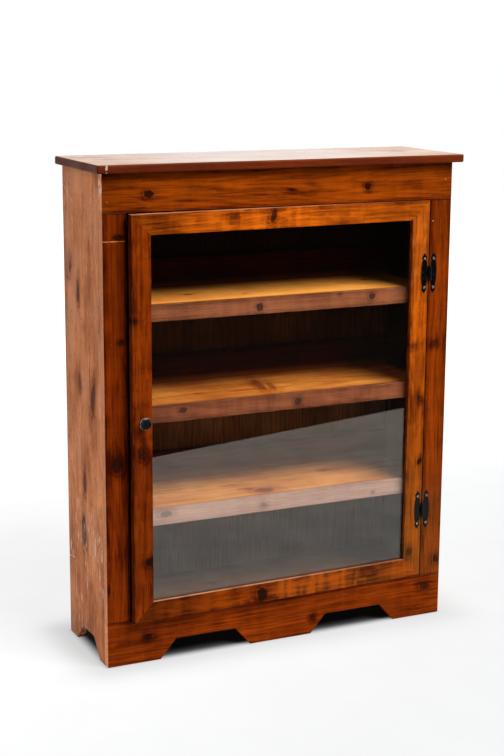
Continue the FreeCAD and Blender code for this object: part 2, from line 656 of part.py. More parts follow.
def hinge_leaf(side, height):
    """One leaf with its knuckles: the two outer ones on the frame (side 1), the middle one on the door."""
    half = LEAF_HEIGHT / 2
    body = LEAF_BODY_HEIGHT / 2
    neck = body + LEAF_WAIST_HEIGHT / 2
    barb = body + LEAF_WAIST_HEIGHT
    wide = LEAF_WIDTH - LEAF_BOW
    points = [(0, -body), (LEAF_WAIST, -neck), (0, -barb), (wide / 2, -half), (wide, -barb),
              (wide - LEAF_WAIST, -neck), (wide, -body), (wide, body, (LEAF_WIDTH, 0)),
              (wide - LEAF_WAIST, neck), (wide, barb), (wide / 2, half), (0, barb),
              (LEAF_WAIST, neck), (0, body)]
    inner = PIN_X + side * LEAF_OFFSET
    plate = prism(points, lambda out, up: Vector(inner + side * out, -LEAF_THICKNESS, height + up),
                  Vector(0, LEAF_THICKNESS, 0))
    plate = eased(plate, LEAF_EASE, lambda edge: edge.BoundBox.YMax < -LEAF_THICKNESS / 2)
    bore = Part.makeCylinder(PIN_RADIUS + PIN_GAP, LEAF_HEIGHT, Vector(PIN_X, PIN_Y, height - half))
    knuckle = (BARREL_HEIGHT - 2 * KNUCKLE_GAP) / 3
    outer = [height - BARREL_HEIGHT / 2, height + BARREL_HEIGHT / 2 - knuckle]
    for bottom in outer if side > 0 else [height - knuckle / 2]:
        barrel = Part.makeCylinder(BARREL_RADIUS, knuckle, Vector(PIN_X, PIN_Y, bottom))
        web_ends = sorted((PIN_X + side * PIN_RADIUS, PIN_X + side * (LEAF_OFFSET + LEAF_BOW)))
        web = box(web_ends, (-LEAF_THICKNESS, 0), (bottom, bottom + knuckle))
        plate = plate.fuse([barrel, web])
    return cut(plate.removeSplitter(), [bore] + hinge_screws(side, FASTENER_GAP))


def hinge_pin(height):
    """Pin through the knuckles with a rounded head at each end."""
    bottom = height - BARREL_HEIGHT / 2
    out, up = cap_middle(PIN_HEAD_RADIUS, PIN_HEAD_HEIGHT)
    points = [(0, -PIN_HEAD_HEIGHT), (PIN_HEAD_RADIUS, 0, (out, -up)), (PIN_RADIUS, 0),
              (PIN_RADIUS, BARREL_HEIGHT), (PIN_HEAD_RADIUS, BARREL_HEIGHT),
              (0, BARREL_HEIGHT + PIN_HEAD_HEIGHT, (out, BARREL_HEIGHT + up))]
    return turned(points, Vector(PIN_X, PIN_Y, bottom), Vector(0, 0, 1))


def carcass_nodes():
    """Everything that stands still, by node name. A list is a group of separate solids."""
    nodes = {"top_board": top_board(), "bottom_board": bottom_board(), "back_panel": back_panel(),
             "face_top_rail": face_top_rail(), "face_bottom_rail": face_bottom_rail(),
             "door_stop_strip": door_stop_strip()}
    for name, side in SIDES.items():
        nodes[f"{name}_side_panel"] = side_panel(side)
        nodes[f"face_{name}_stile"] = face_stile(side)
    for name, top in SHELVES.items():
        nodes[f"{name}_shelf_board"] = shelf_board(top)
        nodes[f"{name}_shelf_edging"] = shelf_edging(top)
        nodes[f"{name}_shelf_back_rail"] = shelf_back_rail(top)
    for name, top in cleat_tops().items():
        for side_name, side in SIDES.items():
            nodes[f"{side_name}_{name}_cleat"] = cleat(name, top, side)
    for name, height in HINGES.items():
        nodes[f"{name}_hinge_frame_leaf"] = hinge_leaf(1, height)
        nodes[f"{name}_hinge_pin"] = hinge_pin(height)
    nodes["frame_hinge_screws"] = hinge_screws(1)
    nodes["catch_housing"] = catch_housing()
    nodes["catch_magnet"] = catch_magnet()
    nodes["catch_pole_plates"] = catch_pole_plates()
    nodes["catch_screws"] = catch_screws()
    nodes["cleat_screws"] = cleat_screws()
    nodes["face_frame_nails"] = face_nails()
    nodes["top_nails"] = top_nails()
    nodes["back_panel_nails"] = back_nails()
    return nodes


def door_nodes():
    """Everything that swings with the door, by node name, with the door shut."""
    splines = mitre_splines()
    holes = {side: splines + bead_brads(side, FASTENER_GAP) for side in DOOR_SIDES}
    holes["left"].append(knob_screw(FASTENER_GAP))
    holes["right"] += hinge_screws(-1, FASTENER_GAP)
    holes["bottom"].append(strike_screw(FASTENER_GAP))
    kinds = {"left": "stile", "right": "stile", "top": "rail", "bottom": "rail"}
    nodes = {f"door_{side}_{kind}": door_member(side, holes[side]) for side, kind in kinds.items()}
    for side in DOOR_SIDES:
        nodes[f"{side}_glazing_bead"] = glazing_bead(side)
    nodes["bead_brads"] = [brad for side in DOOR_SIDES for brad in bead_brads(side)]
    nodes["door_mitre_splines"] = splines
    nodes["door_glass"] = door_glass()
    for name, height in HINGES.items():
        nodes[f"{name}_hinge_door_leaf"] = hinge_leaf(-1, height)
    nodes["door_hinge_screws"] = hinge_screws(-1)
    nodes["door_knob"] = door_knob()
    nodes["knob_screw"] = knob_screw()
    nodes["catch_strike_plate"] = catch_strike_plate()
    nodes["strike_screw"] = strike_screw()
    return nodes


def main():
    ajar = Placement(Vector(0, 0, 0), Rotation(Vector(0, 0, 1), DOOR_AJAR_DEGREES), Vector(PIN_X, PIN_Y, 0))
    knob_tip = ajar.multVec(Vector(KNOB_X, -KNOB_LENGTH, KNOB_HEIGHT))
    centred = Placement(Vector(0, -(BODY_DEPTH + knob_tip.y) / 2, 0), Rotation())
    os.makedirs("parts", exist_ok=True)
    for nodes, place in ((carcass_nodes(), centred), (door_nodes(), centred.multiply(ajar))):
        for name, made in nodes.items():
            shape = Part.makeCompound(made) if isinstance(made, list) else made
            shape.Placement = place.multiply(shape.Placement)
            shape.exportStep(f"parts/{name}.step")
    print("front of the face frame at y =", round(centred.Base.y, 4))
    print("hinge pin axis at", [round(value, 4) for value in centred.multVec(Vector(PIN_X, PIN_Y, 0))])


main()
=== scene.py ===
# Looks of the pine display cabinet: stained pine, glass, black iron, floor, light and camera, all
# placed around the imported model, which is the fixed frame. Lengths are in metres, apart from the
# marks on the boards, which are in millimetres.

import json
import math
from dataclasses import dataclass, replace

import bpy
from mathutils import Matrix, Vector

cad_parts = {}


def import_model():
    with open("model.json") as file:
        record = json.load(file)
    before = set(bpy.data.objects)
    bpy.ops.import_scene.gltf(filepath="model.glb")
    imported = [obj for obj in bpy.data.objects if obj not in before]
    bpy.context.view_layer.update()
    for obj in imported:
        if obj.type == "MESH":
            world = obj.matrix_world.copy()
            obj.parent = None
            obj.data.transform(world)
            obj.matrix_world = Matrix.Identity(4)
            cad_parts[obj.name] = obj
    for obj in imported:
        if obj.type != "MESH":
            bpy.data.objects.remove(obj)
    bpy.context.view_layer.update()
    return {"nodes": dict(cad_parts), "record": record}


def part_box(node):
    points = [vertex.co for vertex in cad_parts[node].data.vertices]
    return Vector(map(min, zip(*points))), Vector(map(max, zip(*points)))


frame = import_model()

MM = 0.001
FACE_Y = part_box("face_top_rail")[0].y
SLOTS = {entry["node"]: entry["material_slot"] for entry in frame["record"]["subparts"]}

# Camera, placed from the middle of the face frame's front at floor level, with its angles in degrees
CAMERA_PLACE = (-1.6249, -3.2604, 1.4523)
CAMERA_YAW = 25.316
CAMERA_PITCH = -12.359
CAMERA_ROLL = 0.371
CAMERA_LENS = 75.04
SENSOR_WIDTH = 36.0

# Floor: a pale sheet that ends in front of the cabinet along a slanted line, on a dark studio floor
FLOOR_REACH = 9.0
SHEET_FRONT = 1.593
SHEET_SLANT = 0.178
DARK_DROP = 0.01
CARD_DISTANCE = 6.0
CARD_REACH = 14.0

# Tones of the pale floor to the eye and to soft light, and of the dark floor and the dark card
FLOOR_SEEN = ((0.12, 0.125, 0.125, 1), (0.14, 0.145, 0.145, 1))
FLOOR_LIT = (0.75, 0.75, 0.75, 1)
CARD_DARK = ((0.008, 0.007, 0.006, 1), (0.02, 0.018, 0.016, 1))

# Shade under the cabinet: how far inside the footprint's edge it is full, and the share of tone it leaves
UNDER_REACH = 0.04
UNDER_SHADE = 0.35

# Glow that lifts the floor to white away from the cabinet: for each step, where it sets in and where it is
# full, off the footprint, and how much it adds, and then how much more it has towards the bright walls.
# Where it falls away close round the cabinet, it leaves a painted soft shadow.
GLOW_STEPS = [(-0.025, 0.012, 0.585), (0.0, 0.15, 0.09), (0.6, 3.5, 0.3)]
WALL_GLOW = 0.17
WALL_GLOW_REACH = 0.9

# Soft light all round: dim from the front, bright from the white walls behind and to the left
FRONT_LIGHT = 0.04
WALL_LIGHT = 0.75
WALL_SIDE = (-0.6, 0.8, 0)
KEY_PLACE = (1.7, -3.2, 4.6)
KEY_TARGET = (0, 0, 0.6)
KEY_SIZE = (3.4, 2.8)
KEY_POWER = 600

# Planes of the carcass that the finish follows
OUTER_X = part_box("right_side_panel")[1].x
INNER_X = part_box("right_side_panel")[0].x
RAIL_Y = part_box("middle_shelf_back_rail")[0].y

# Where the finish, and the painted light and shade, change with the place on the cabinet: from where to
# where, across it or in height
FOOT_DIRT = (0.1, 0.0)
LOW_SCUFFS = (0.6, 0.2)
RUBBED_TOP = (1.06, 1.13)
SHADED_RIGHT = (0.2, 0.42)
LEDGE_WEAR_AND_HIGHLIGHT = (-0.2, 0.35)
THIN_VARNISH = (0.42, 0.1)
HIGH_SHADE_HEIGHTS = (0.5, 0.86)
WIPED_ACROSS = (0.12, 0.33)
WIPED_HEIGHTS = (0.9, 0.4)
MIRROR_HEIGHTS = (0.36, 0.44)


def shade(red, green, blue):
    """Colour from 0 to 255 as a screen shows it, as the linear colour that a shader takes."""
    def linear(level):
        share = level / 255
        return share / 12.92 if share <= 0.04045 else ((share + 0.055) / 1.055) ** 2.4
    return linear(red), linear(green), linear(blue), 1.0


# Node trees


class Graph:
    """One node tree. Each method adds a node and gives back its output."""

    def __init__(self, tree):
        self.tree = tree

    def node(self, kind, **settings):
        made = self.tree.nodes.new(kind)
        for name, value in settings.items():
            setattr(made, name, value)
        return made

    def feed(self, socket, value):
        """Links an output to this input, or sets the input to a plain value."""
        if isinstance(value, bpy.types.NodeSocket):
            self.tree.links.new(value, socket)
        else:
            socket.default_value = value

    def feed_all(self, made, values):
        for socket, value in zip(made.inputs, values):
            self.feed(socket, value)

    def math(self, operation, *values):
        made = self.node("ShaderNodeMath", operation=operation)
        self.feed_all(made, values)
        return made.outputs[0]

    def plus(self, first, second):
        return self.math("ADD", first, second)

    def minus(self, first, second):
        return self.math("SUBTRACT", first, second)

    def times(self, first, *others):
        for other in others:
            first = self.math("MULTIPLY", first, other)
        return first

    def vector(self, operation, *values):
        made = self.node("ShaderNodeVectorMath", operation=operation)
        self.feed_all(made, values)
        return made.outputs["Value" if operation in ("LENGTH", "DOT_PRODUCT") else "Vector"]

    def scale(self, vector, share):
        made = self.node("ShaderNodeVectorMath", operation="SCALE")
        self.feed(made.inputs[0], vector)
        self.feed(made.inputs["Scale"], share)
        return made.outputs[0]

    def noise(self, point, bumps, detail=2.0, shift=0.0, spread=False):
        """Cloudy noise about 0.5 with so many bumps a metre, all round or along each axis, and with spread
        three at once."""
        bumps = bumps if isinstance(bumps, tuple) else (bumps, bumps, bumps)
        scaled = self.vector("MULTIPLY_ADD", point, bumps, (shift, shift, shift))
        made = self.node("ShaderNodeTexNoise")
        self.feed(made.inputs["Vector"], scaled)
        made.inputs["Scale"].default_value = 1.0
        made.inputs["Detail"].default_value = detail
        return made.outputs[1 if spread else 0]

    def ease(self, value, low, high, out_low=0.0, out_high=1.0):
        """Smooth step from out_low to out_high as value goes from low to high."""
        made = self.node("ShaderNodeMapRange", interpolation_type="SMOOTHSTEP")
        self.feed_all(made, (value, low, high, out_low, out_high))
        return made.outputs[0]

    def mix(self, share, first, second):
        made = self.node("ShaderNodeMix", data_type="RGBA")
        self.feed(made.inputs[0], share)
        self.feed(made.inputs[6], first)
        self.feed(made.inputs[7], second)
        return made.outputs[2]

    def parts(self, vector):
        made = self.node("ShaderNodeSeparateXYZ")
        self.feed(made.inputs[0], vector)
        return list(made.outputs)

    def joined(self, *values):
        made = self.node("ShaderNodeCombineXYZ")
        self.feed_all(made, values)
        return made.outputs[0]

    def place(self):
        """Place on the piece at rest, in metres."""
        return self.node("ShaderNodeTexCoord").outputs["Object"]

    def bump(self, height, distance, strength):
        made = self.node("ShaderNodeBump")
        made.inputs["Strength"].default_value = strength
        made.inputs["Distance"].default_value = distance
        self.feed(made.inputs["Height"], height)
        return made.outputs[0]

    def surface(self, **values):
        """Principled shader with these inputs. An underscore in a name stands for a space."""
        made = self.node("ShaderNodeBsdfPrincipled")
        for name, value in values.items():
            self.feed(made.inputs[name.replace("_", " ")], value)
        return made.outputs[0]

    def blend(self, share, first, second):
        made = self.node("ShaderNodeMixShader")
        self.feed_all(made, (share, first, second))
        return made.outputs[0]

    def finish(self, shader):
        self.feed(self.node("ShaderNodeOutputMaterial").inputs["Surface"], shader)


def new_material(name):
    material = bpy.data.materials.new(name)
    material.use_nodes = True
    material.node_tree.nodes.clear()
    return material, Graph(material.node_tree)


def painted(material, graph, **looks):
    """The material, as a plain surface that looks like this."""
    graph.finish(graph.surface(**looks))
    return material


def dress(node, material):
    """Gives a CAD node this material and no other."""
    mesh = frame["nodes"][node].data
    mesh.materials.clear()
    mesh.materials.append(material)


# Pine

# What a knot's node group gives, its depth, which has no end within a board, and the soft edge of a line
KNOT_MASKS = ("Core", "Heart", "Arc", "Halo", "Push")
KNOT_DEPTH = 1000.0
STROKE_EDGE = 0.3 * MM


def swing(graph, noise, weight):
    """Noise about 0.5 as a swing of this weight about 0."""
    return graph.math("MULTIPLY_ADD", noise, weight, -0.5 * weight)


def new_group(name, vectors, numbers, masks):
    """Node group with these inputs and outputs: its tree, the graph to fill it, and the inputs' values."""
    tree = bpy.data.node_groups.new(name, "ShaderNodeTree")
    sockets = [(each, "INPUT", "NodeSocketVector") for each in vectors]
    sockets += [(each, "INPUT", "NodeSocketFloat") for each in numbers]
    sockets += [(each, "OUTPUT", "NodeSocketFloat") for each in masks]
    for label, in_out, kind in sockets:
        tree.interface.new_socket(label, in_out=in_out, socket_type=kind)
    graph = Graph(tree)
    given = list(graph.node("NodeGroupInput").outputs)
    return tree, graph, given[:len(vectors) + len(numbers)]


def knot_group():
    """Node group for one knot: its core, pale heart, dark arc, halo, and how far it pushes the grain."""
    tree, graph, given = new_group("Knot", ("Point", "Place", "Size"), ("Turn", "Depth"), KNOT_MASKS)
    point, place, size, turn, strength = given
    away = graph.vector("SUBTRACT", point, place)
    turned = graph.node("ShaderNodeVectorRotate", rotation_type="Z_AXIS")
    graph.feed(turned.inputs["Vector"], away)
    graph.feed(turned.inputs["Angle"], turn)
    # From here on a reach of 1 is the knot's edge
    scaled = graph.vector("DIVIDE", turned.outputs[0], size)
    unlike = graph.vector("MULTIPLY_ADD", place, (90, 90, 0), scaled)
    round_reach = graph.vector("LENGTH", scaled)
    ragged = swing(graph, graph.noise(unlike, (1.1, 1.1, 0), detail=3.0), 0.9)
    reach = graph.plus(round_reach, ragged)
    mottled = graph.noise(unlike, (2.6, 2.6, 0), detail=3.0, shift=7.0)
    lower = graph.parts(scaled)[0]
    arc = graph.ease(graph.math("ABSOLUTE", graph.minus(reach, 1.45)), 0.2, 0.02)
    masks = {
        "Core": graph.times(graph.ease(reach, 1.15, 0.75), strength),
        "Heart": graph.times(graph.ease(reach, 0.9, 0.3), graph.ease(mottled, 0.45, 0.65)),
        "Arc": graph.times(arc, graph.ease(lower, -0.3, -1.2)),
        "Halo": graph.ease(reach, 2.8, 0.9),
        "Push": graph.times(graph.parts(away)[1], graph.ease(round_reach, 3.6, 0.2, 0.0, 0.8)),
    }
    out = graph.node("NodeGroupOutput")
    for name, mask in masks.items():
        graph.feed(out.inputs[name], mask)
    return tree


def stroke_group():
    """Node group for one scratch, crack or rubbed line: 1 on the line from Start to End, 0 off it."""
    tree, graph, given = new_group("Stroke", ("Point", "Start", "End"), ("Width",), ("Mask",))
    point, start, end, width = given
    run = graph.vector("SUBTRACT", end, start)
    away = graph.vector("MULTIPLY", graph.vector("SUBTRACT", point, start), (1, 1, 0))
    length_squared = graph.vector("DOT_PRODUCT", run, run)
    share = graph.math("DIVIDE", graph.vector("DOT_PRODUCT", away, run), length_squared)
    held = graph.math("MINIMUM", graph.math("MAXIMUM", share, 0.0), 1.0)
    off = graph.vector("SUBTRACT", away, graph.vector("MULTIPLY", run, graph.joined(held, held, 0.0)))
    ragged = graph.math("MULTIPLY_ADD", graph.noise(point, 160, detail=3.0), 2.4, -0.7)
    gap = graph.minus(graph.vector("LENGTH", off), graph.times(width, ragged))
    graph.feed(graph.node("NodeGroupOutput").inputs["Mask"], graph.ease(gap, STROKE_EDGE, -STROKE_EDGE))
    return tree


KNOT = knot_group()
STROKE = stroke_group()

# Noise that a board's figure is made of: bumps a metre, along, across and through the grain or all round,
# fineness, and how far one board's noise lies from the next one's
GRAIN = {
    "fibre": ((14, 380, 380), 3.0, 1.3),
    "cloud": ((6, 13, 13), 4.0, 2.1),
    "streak": ((2.5, 48, 48), 3.0, 4.7),
    "band": ((40, 6, 6), 3.0, 5.3),
    "flame": ((6, 150, 150), 3.0, 9.1),
    "patch": ((17, 50, 50), 5.0, 6.1),
    "dash": ((45, 560, 560), 1.0, 7.9),
    "fleck": (260, 1.0, 8.3),
    "wear": (25, 5.0, 1.0),
}

# Growth rings: their width, and how far their pith is beside and behind the middle of the board, with steps
# from board to board
RING_WIDTH = 5.2 * MM
PITH_ASIDE = 10 * MM
PITH_ASIDE_STEP = 13 * MM
PITH_BEHIND = 50 * MM
PITH_BEHIND_STEP = 12 * MM

# Other measures of the figure, dirt and wear
FIBRE_HEIGHT = 0.6 * MM
DIRT_REACH = 14 * MM
JOINT_REACH = 4 * MM
WORN_EDGE = (1.6 * MM, 0.2 * MM)
VARNISH_ROUGHNESS = 0.16
MEAN_DARK = 0.4

# How a board lies: the axes that run along its grain, across its face and through its thickness
UP = 2
LAYS = {"rail": (0, 2, 1), "stile": (2, 0, 1), "side": (2, 1, 0), "flat": (0, 1, 2), "cleat": (1, 2, 0)}


@dataclass
class Tone:
    """One kind of finish on pine: colours of early and late wood, bare wood and knots, how strongly each part
    of its figure and wear shows, and how it shines."""
    early: tuple
    late: tuple
    bare: tuple
    knot: tuple = shade(22, 8, 4)
    heart: tuple = shade(30, 12, 7)
    rings: float = 0.22
    streaks: float = 0.8
    fibre: float = 0.8
    cloud: float = 0.8
    bands: float = 0.4
    mottle: float = 0.0
    flames: float = 0.0
    dashes: float = 0.25
    flecks: float = 0.2
    dirt: float = 0.35
    wear: float = 0.3
    shine: float = 0.04
    rough: float = 0.4
    relief: float = 0.25


TONES = {
    "face_pine": Tone(shade(150, 64, 5), shade(66, 18, 1), shade(200, 134, 86), streaks=0.7, cloud=1.0,
                      mottle=0.1, flames=0.3, dashes=0.15, wear=0.08, shine=0.015),
    "door_pine": Tone(shade(162, 74, 8), shade(77, 25, 2), shade(214, 160, 112), streaks=0.7, cloud=1.0,
                      bands=0.6, mottle=0.22, flames=0.3, dashes=0.15, dirt=0.22, shine=0.015),
    "side_pine": Tone(shade(240, 158, 107), shade(118, 58, 36), shade(240, 210, 188),
                      knot=shade(76, 52, 42), heart=shade(116, 96, 84), rings=0.1, streaks=0.45, fibre=0.9,
                      cloud=1.1, bands=0.2, dashes=0.3, flecks=0.35, dirt=0.1, wear=0.35, shine=0.01,
                      rough=0.55),
    "top_pine": Tone(shade(101, 38, 11), shade(66, 20, 4), shade(176, 142, 122), streaks=1.2, dirt=0.1,
                     wear=0.15, relief=0.06),
    "shelf_pine": Tone(shade(246, 160, 66), shade(166, 78, 22), shade(236, 196, 140),
                       knot=shade(104, 44, 22), heart=shade(120, 60, 38), rings=0.35, streaks=1.0,
                       fibre=1.0, cloud=1.5, wear=0.2, rough=0.5),
    "edging_pine": Tone(shade(152, 90, 58), shade(98, 52, 32), shade(206, 150, 110), knot=shade(50, 30, 24),
                        heart=shade(74, 58, 50), cloud=1.2, bands=0.7, rough=0.5),
    "inner_pine": Tone(shade(110, 54, 18), shade(66, 28, 8), shade(190, 140, 96), rough=0.5),
}

# Boards whose tone differs from that of others of their kind
OWN_TONES = {
    # The upper shelf is brighter, as painted light that makes up for the shade it lies in
    "upper_shelf_board": replace(TONES["shelf_pine"], early=shade(255, 178, 80), late=shade(214, 120, 46),
                                 bare=shade(240, 200, 146), knot=shade(112, 50, 24),
                                 heart=shade(130, 70, 42), cloud=1.4),
    "middle_shelf_board": replace(TONES["shelf_pine"], early=shade(218, 142, 60), late=shade(147, 68, 20)),
    # The lower shelf is less saturated, with the glass's reflection of the floor painted into it
    "lower_shelf_board": replace(TONES["shelf_pine"], early=shade(218, 150, 78), late=shade(156, 84, 36),
                                 knot=shade(104, 50, 30), heart=shade(120, 66, 44)),
    # The bottom board is darker, as painted shade
    "bottom_board": Tone(shade(92, 60, 38), shade(58, 36, 22), shade(150, 110, 80), cloud=1.0, wear=0.2,
                         rough=0.55),
    "lower_shelf_edging": replace(TONES["edging_pine"], early=shade(192, 158, 140), late=shade(146, 110, 96),
                                  bare=shade(216, 188, 170), knot=shade(92, 78, 72),
                                  heart=shade(112, 98, 92), cloud=1.0, bands=0.4),
}

# How fast stain takes away red, green and blue, compared with red
STAIN_DEPTH = (1.0, 1.45, 1.5)

# Colours that the finish has in places, and colours of painted light and shade
# Partly bleaching, partly a painted sheen on the top's upper face
BLEACHED_AND_SHEEN = shade(176, 136, 103)
SCUFFED = shade(214, 150, 118)
# Partly bare wood, partly a painted highlight on the door's upward edges
PALE_LEDGE_AND_HIGHLIGHT = shade(164, 118, 88)
# Painted light at the back rails' feet, from the lit shelves
RAIL_FOOT_LIGHT = shade(180, 96, 34)
CRACK_DARK = shade(20, 8, 5)
# Painted shade on the inner faces of the sides
INSIDE_SHADE = shade(24, 8, 3)
# Painted shade in the shelves' corners, ends and right-hand parts
SHELF_SHADE = shade(22, 9, 4)
GOLD = shade(190, 160, 80)

# How much lighter or darker a board took the stain than others of its kind
TINTS = {
    "face_top_rail": 0.96,
    "face_left_stile": 0.585,
    "face_right_stile": 0.73,
    "face_bottom_rail": 0.7,
    "door_left_stile": 0.535,
    "door_bottom_rail": 0.67,
    # The door stop strip is darkened far past its stain, as painted shade in the gap beside the door
    "door_stop_strip": 0.1,
    "middle_shelf_edging": 0.9,
    "lower_shelf_edging": 0.92,
    "upper_shelf_back_rail": 0.16,
    "middle_shelf_back_rail": 0.14,
    "lower_shelf_back_rail": 0.45,
}

# Boards that change along their grain: for each ramp, where it starts and ends, and the shares of their
# colour there
FADES = {
    "face_top_rail": [(-450, -330, 0.62, 0.97), (100, 330, 1.01, 0.88), (405, 450, 1.0, 0.8)],
    "door_top_rail": [(-290, -235, 0.72, 1.14), (-150, -100, 1.0, 1.2), (70, 130, 1.0, 0.8),
                      (190, 280, 1.0, 0.79)],
    "door_left_stile": [(750, 1040, 0.98, 1.06), (150, 210, 1.35, 0.97), (440, 580, 0.86, 1.16),
                        (760, 820, 1.0, 0.87)],
    "door_right_stile": [(430, 830, 0.66, 1.14), (960, 1010, 1.0, 0.86)],
    "door_bottom_rail": [(-391, 0, 0.43, 1.02)],
    "face_right_stile": [(200, 1000, 0.92, 0.8), (720, 800, 1.0, 1.18), (900, 980, 1.0, 0.7)],
    "face_left_stile": [(640, 960, 1.0, 0.78), (330, 420, 1.14, 1.0)],
    "face_bottom_rail": [(-260, -180, 1.0, 1.22), (-110, -40, 1.0, 0.84), (120, 260, 1.0, 0.93)],
    "lower_shelf_edging": [(120, 260, 1.0, 0.94)],
    "left_side_panel": [(100, 600, 0.93, 1.0)],
}

# Boards that turn more golden in places: for each ramp, where it starts and where it is full, and how much
# there
GILDED = {
    "door_bottom_rail": [(-60, 10, 0.024)],
    "door_right_stile": [(500, 250, 0.035), (800, 900, 0.02)],
    "face_right_stile": [(480, 220, 0.027)],
}

# Boards whose figure has stronger cross bands than others of their kind
BANDS = {"door_bottom_rail": 1.3, "door_top_rail": 0.9, "middle_shelf_edging": 1.0}

# Stripes across the grain: where they start and end, how many go to a metre, and how strong they are, and
# half the length that they fade over
STRIPES = {"door_bottom_rail": (-30, 210, 34, 0.55), "door_top_rail": (-180, 40, 26, 0.3)}
STRIPE_FADE = 12

# Knots: place along the grain and across the board, half length, half width, turn in degrees, and depth
# of colour from 0 to 1
KNOTS = {
    "face_top_rail": [(-339, 1102, 12, 9, 0, 1), (217, 1099, 9, 9, 0, 1), (16, 1099, 9, 2.4, 8, 1)],
    "face_left_stile": [(1008, -412, 7, 13, 0, 0.9), (772, -409, 7, 9, 25, 0.8),
                        (487, -421, 18, 14, 15, 0.75), (191, -447, 7, 4, 0, 1)],
    "face_right_stile": [(705, 412, 10, 15, 25, 0.7), (145, 438, 12, 9, 0, 0.8)],
    "face_bottom_rail": [(-348, 61, 11, 9, 0, 0.9), (88, 41, 9, 8, 0, 0.8), (407, 76, 15, 11, 10, 0.7)],
    "door_left_stile": [(516, -370, 19, 11, 25, 0.65), (255, -352, 11, 11, 0, 1),
                        (822, -386, 5, 5, 0, 0.9)],
    "door_top_rail": [(-37, 1042, 8, 18, 15, 0.8), (-136, 1044, 16, 6, 0, 0.5)],
    "door_bottom_rail": [(-59, 129, 14, 18, 0, 1), (241, 138, 30, 17, 0, 0.45)],
    "door_right_stile": [(704, 353, 9, 12, 0, 0.4), (569, 377, 11, 7, 20, 0.7), (409, 381, 10, 6, -30, 1),
                         (174, 359, 13, 10, 0, 0.5)],
    "left_side_panel": [(926, 118, 27, 17, 0, 0.8), (867, 60, 28, 11, 0, 1), (652, 54, 20, 8, 0, 0.8),
                        (632, -34, 36, 11, 15, 0.95), (412, 31, 26, 10, 0, 1), (293, 44, 40, 17, 0, 1)],
    "right_side_panel": [(980, 20, 20, 12, 0, 0.8), (742, 96, 26, 13, 0, 0.8), (530, -40, 18, 10, 8, 0.8),
                         (298, 60, 22, 12, 0, 0.8)],
    "top_board": [(97, 27, 16, 10, 0, 0.9), (281, 82, 14, 9, 0, 1), (-391, 93, 18, 11, 0, 0.9),
                  (369, 13, 13, 9, 0, 1)],
    "upper_shelf_board": [(-190, 20, 10, 7, 0, 0.8), (310, 60, 12, 9, 0, 0.8), (-60, -20, 9, 6, 0, 0.5)],
    "middle_shelf_board": [(0, 30, 12, 60, 10, 0.9), (22, 0, 10, 40, 14, 0.7), (-175, 1, 10, 3, 0, 0.8)],
    "lower_shelf_board": [(-17, -43, 26, 20, 0, 0.9), (-48, -20, 16, 12, 0, 0.6), (200, 60, 12, 9, 0, 0.6)],
    "bottom_board": [(-120, 40, 14, 10, 0, 0.8), (260, -10, 12, 9, 0, 0.8)],
    "upper_shelf_edging": [(-53, 825, 10, 10, 0, 1), (159, 842, 5, 4, 0, 0.6), (248, 832, 9, 8, 0, 1)],
    "middle_shelf_edging": [(-249, 596, 10, 7, 0, 1), (50, 589, 9, 9, 0, 1)],
    "lower_shelf_edging": [(-293, 350, 15, 8, 0, 0.8), (-38, 340, 8, 7, 0, 0.8), (263, 336, 5, 4, 0, 0.8)],
}

# Rubbed and scratched lines that show bare wood, and cracks: both ends, along and across, and half width
SCRATCHES = {
    "left_side_panel": [((1103, 148), (1071, 88), 0.8), ((198, 156), (204, 107), 1.1),
                        ((204, 107), (96, 105), 1.1)],
    "face_left_stile": [((1000, -450), (999, -396), 1.0)],
    "face_top_rail": [((-437, 1086), (-437, 1088), 1.2), ((432, 1110), (433, 1110), 1.6)],
    "face_right_stile": [((1009, 400), (1010, 400), 1.6)],
    "top_board": [((-448, -134), (-444, -134), 1.3)],
}
CRACKS = {
    "left_side_panel": [((614, -24), (596, -29), 1.6)],
}


def knots_on(graph, point, node):
    """The knot group's masks for all the knots on a board together."""
    masks = dict.fromkeys(KNOT_MASKS, 0.0)
    for along, across, half_length, half_width, turn, depth in KNOTS.get(node, ()):
        made = graph.node("ShaderNodeGroup", node_tree=KNOT)
        graph.feed(made.inputs["Point"], point)
        made.inputs["Place"].default_value = (along * MM, across * MM, 0)
        made.inputs["Size"].default_value = (half_length * MM, half_width * MM, KNOT_DEPTH)
        made.inputs["Turn"].default_value = math.radians(turn)
        made.inputs["Depth"].default_value = depth
        for name in KNOT_MASKS:
            joining = "ADD" if name == "Push" else "MAXIMUM"
            masks[name] = graph.math(joining, masks[name], made.outputs[name])
    return masks


def strokes_on(graph, point, lines):
    """1 on any of these lines, 0 off them."""
    mask = 0.0
    for start, end, half_width in lines:
        made = graph.node("ShaderNodeGroup", node_tree=STROKE)
        graph.feed(made.inputs["Point"], point)
        made.inputs["Start"].default_value = (start[0] * MM, start[1] * MM, 0)
        made.inputs["End"].default_value = (end[0] * MM, end[1] * MM, 0)
        made.inputs["Width"].default_value = half_width * MM
        mask = graph.math("MAXIMUM", mask, made.outputs["Mask"])
    return mask


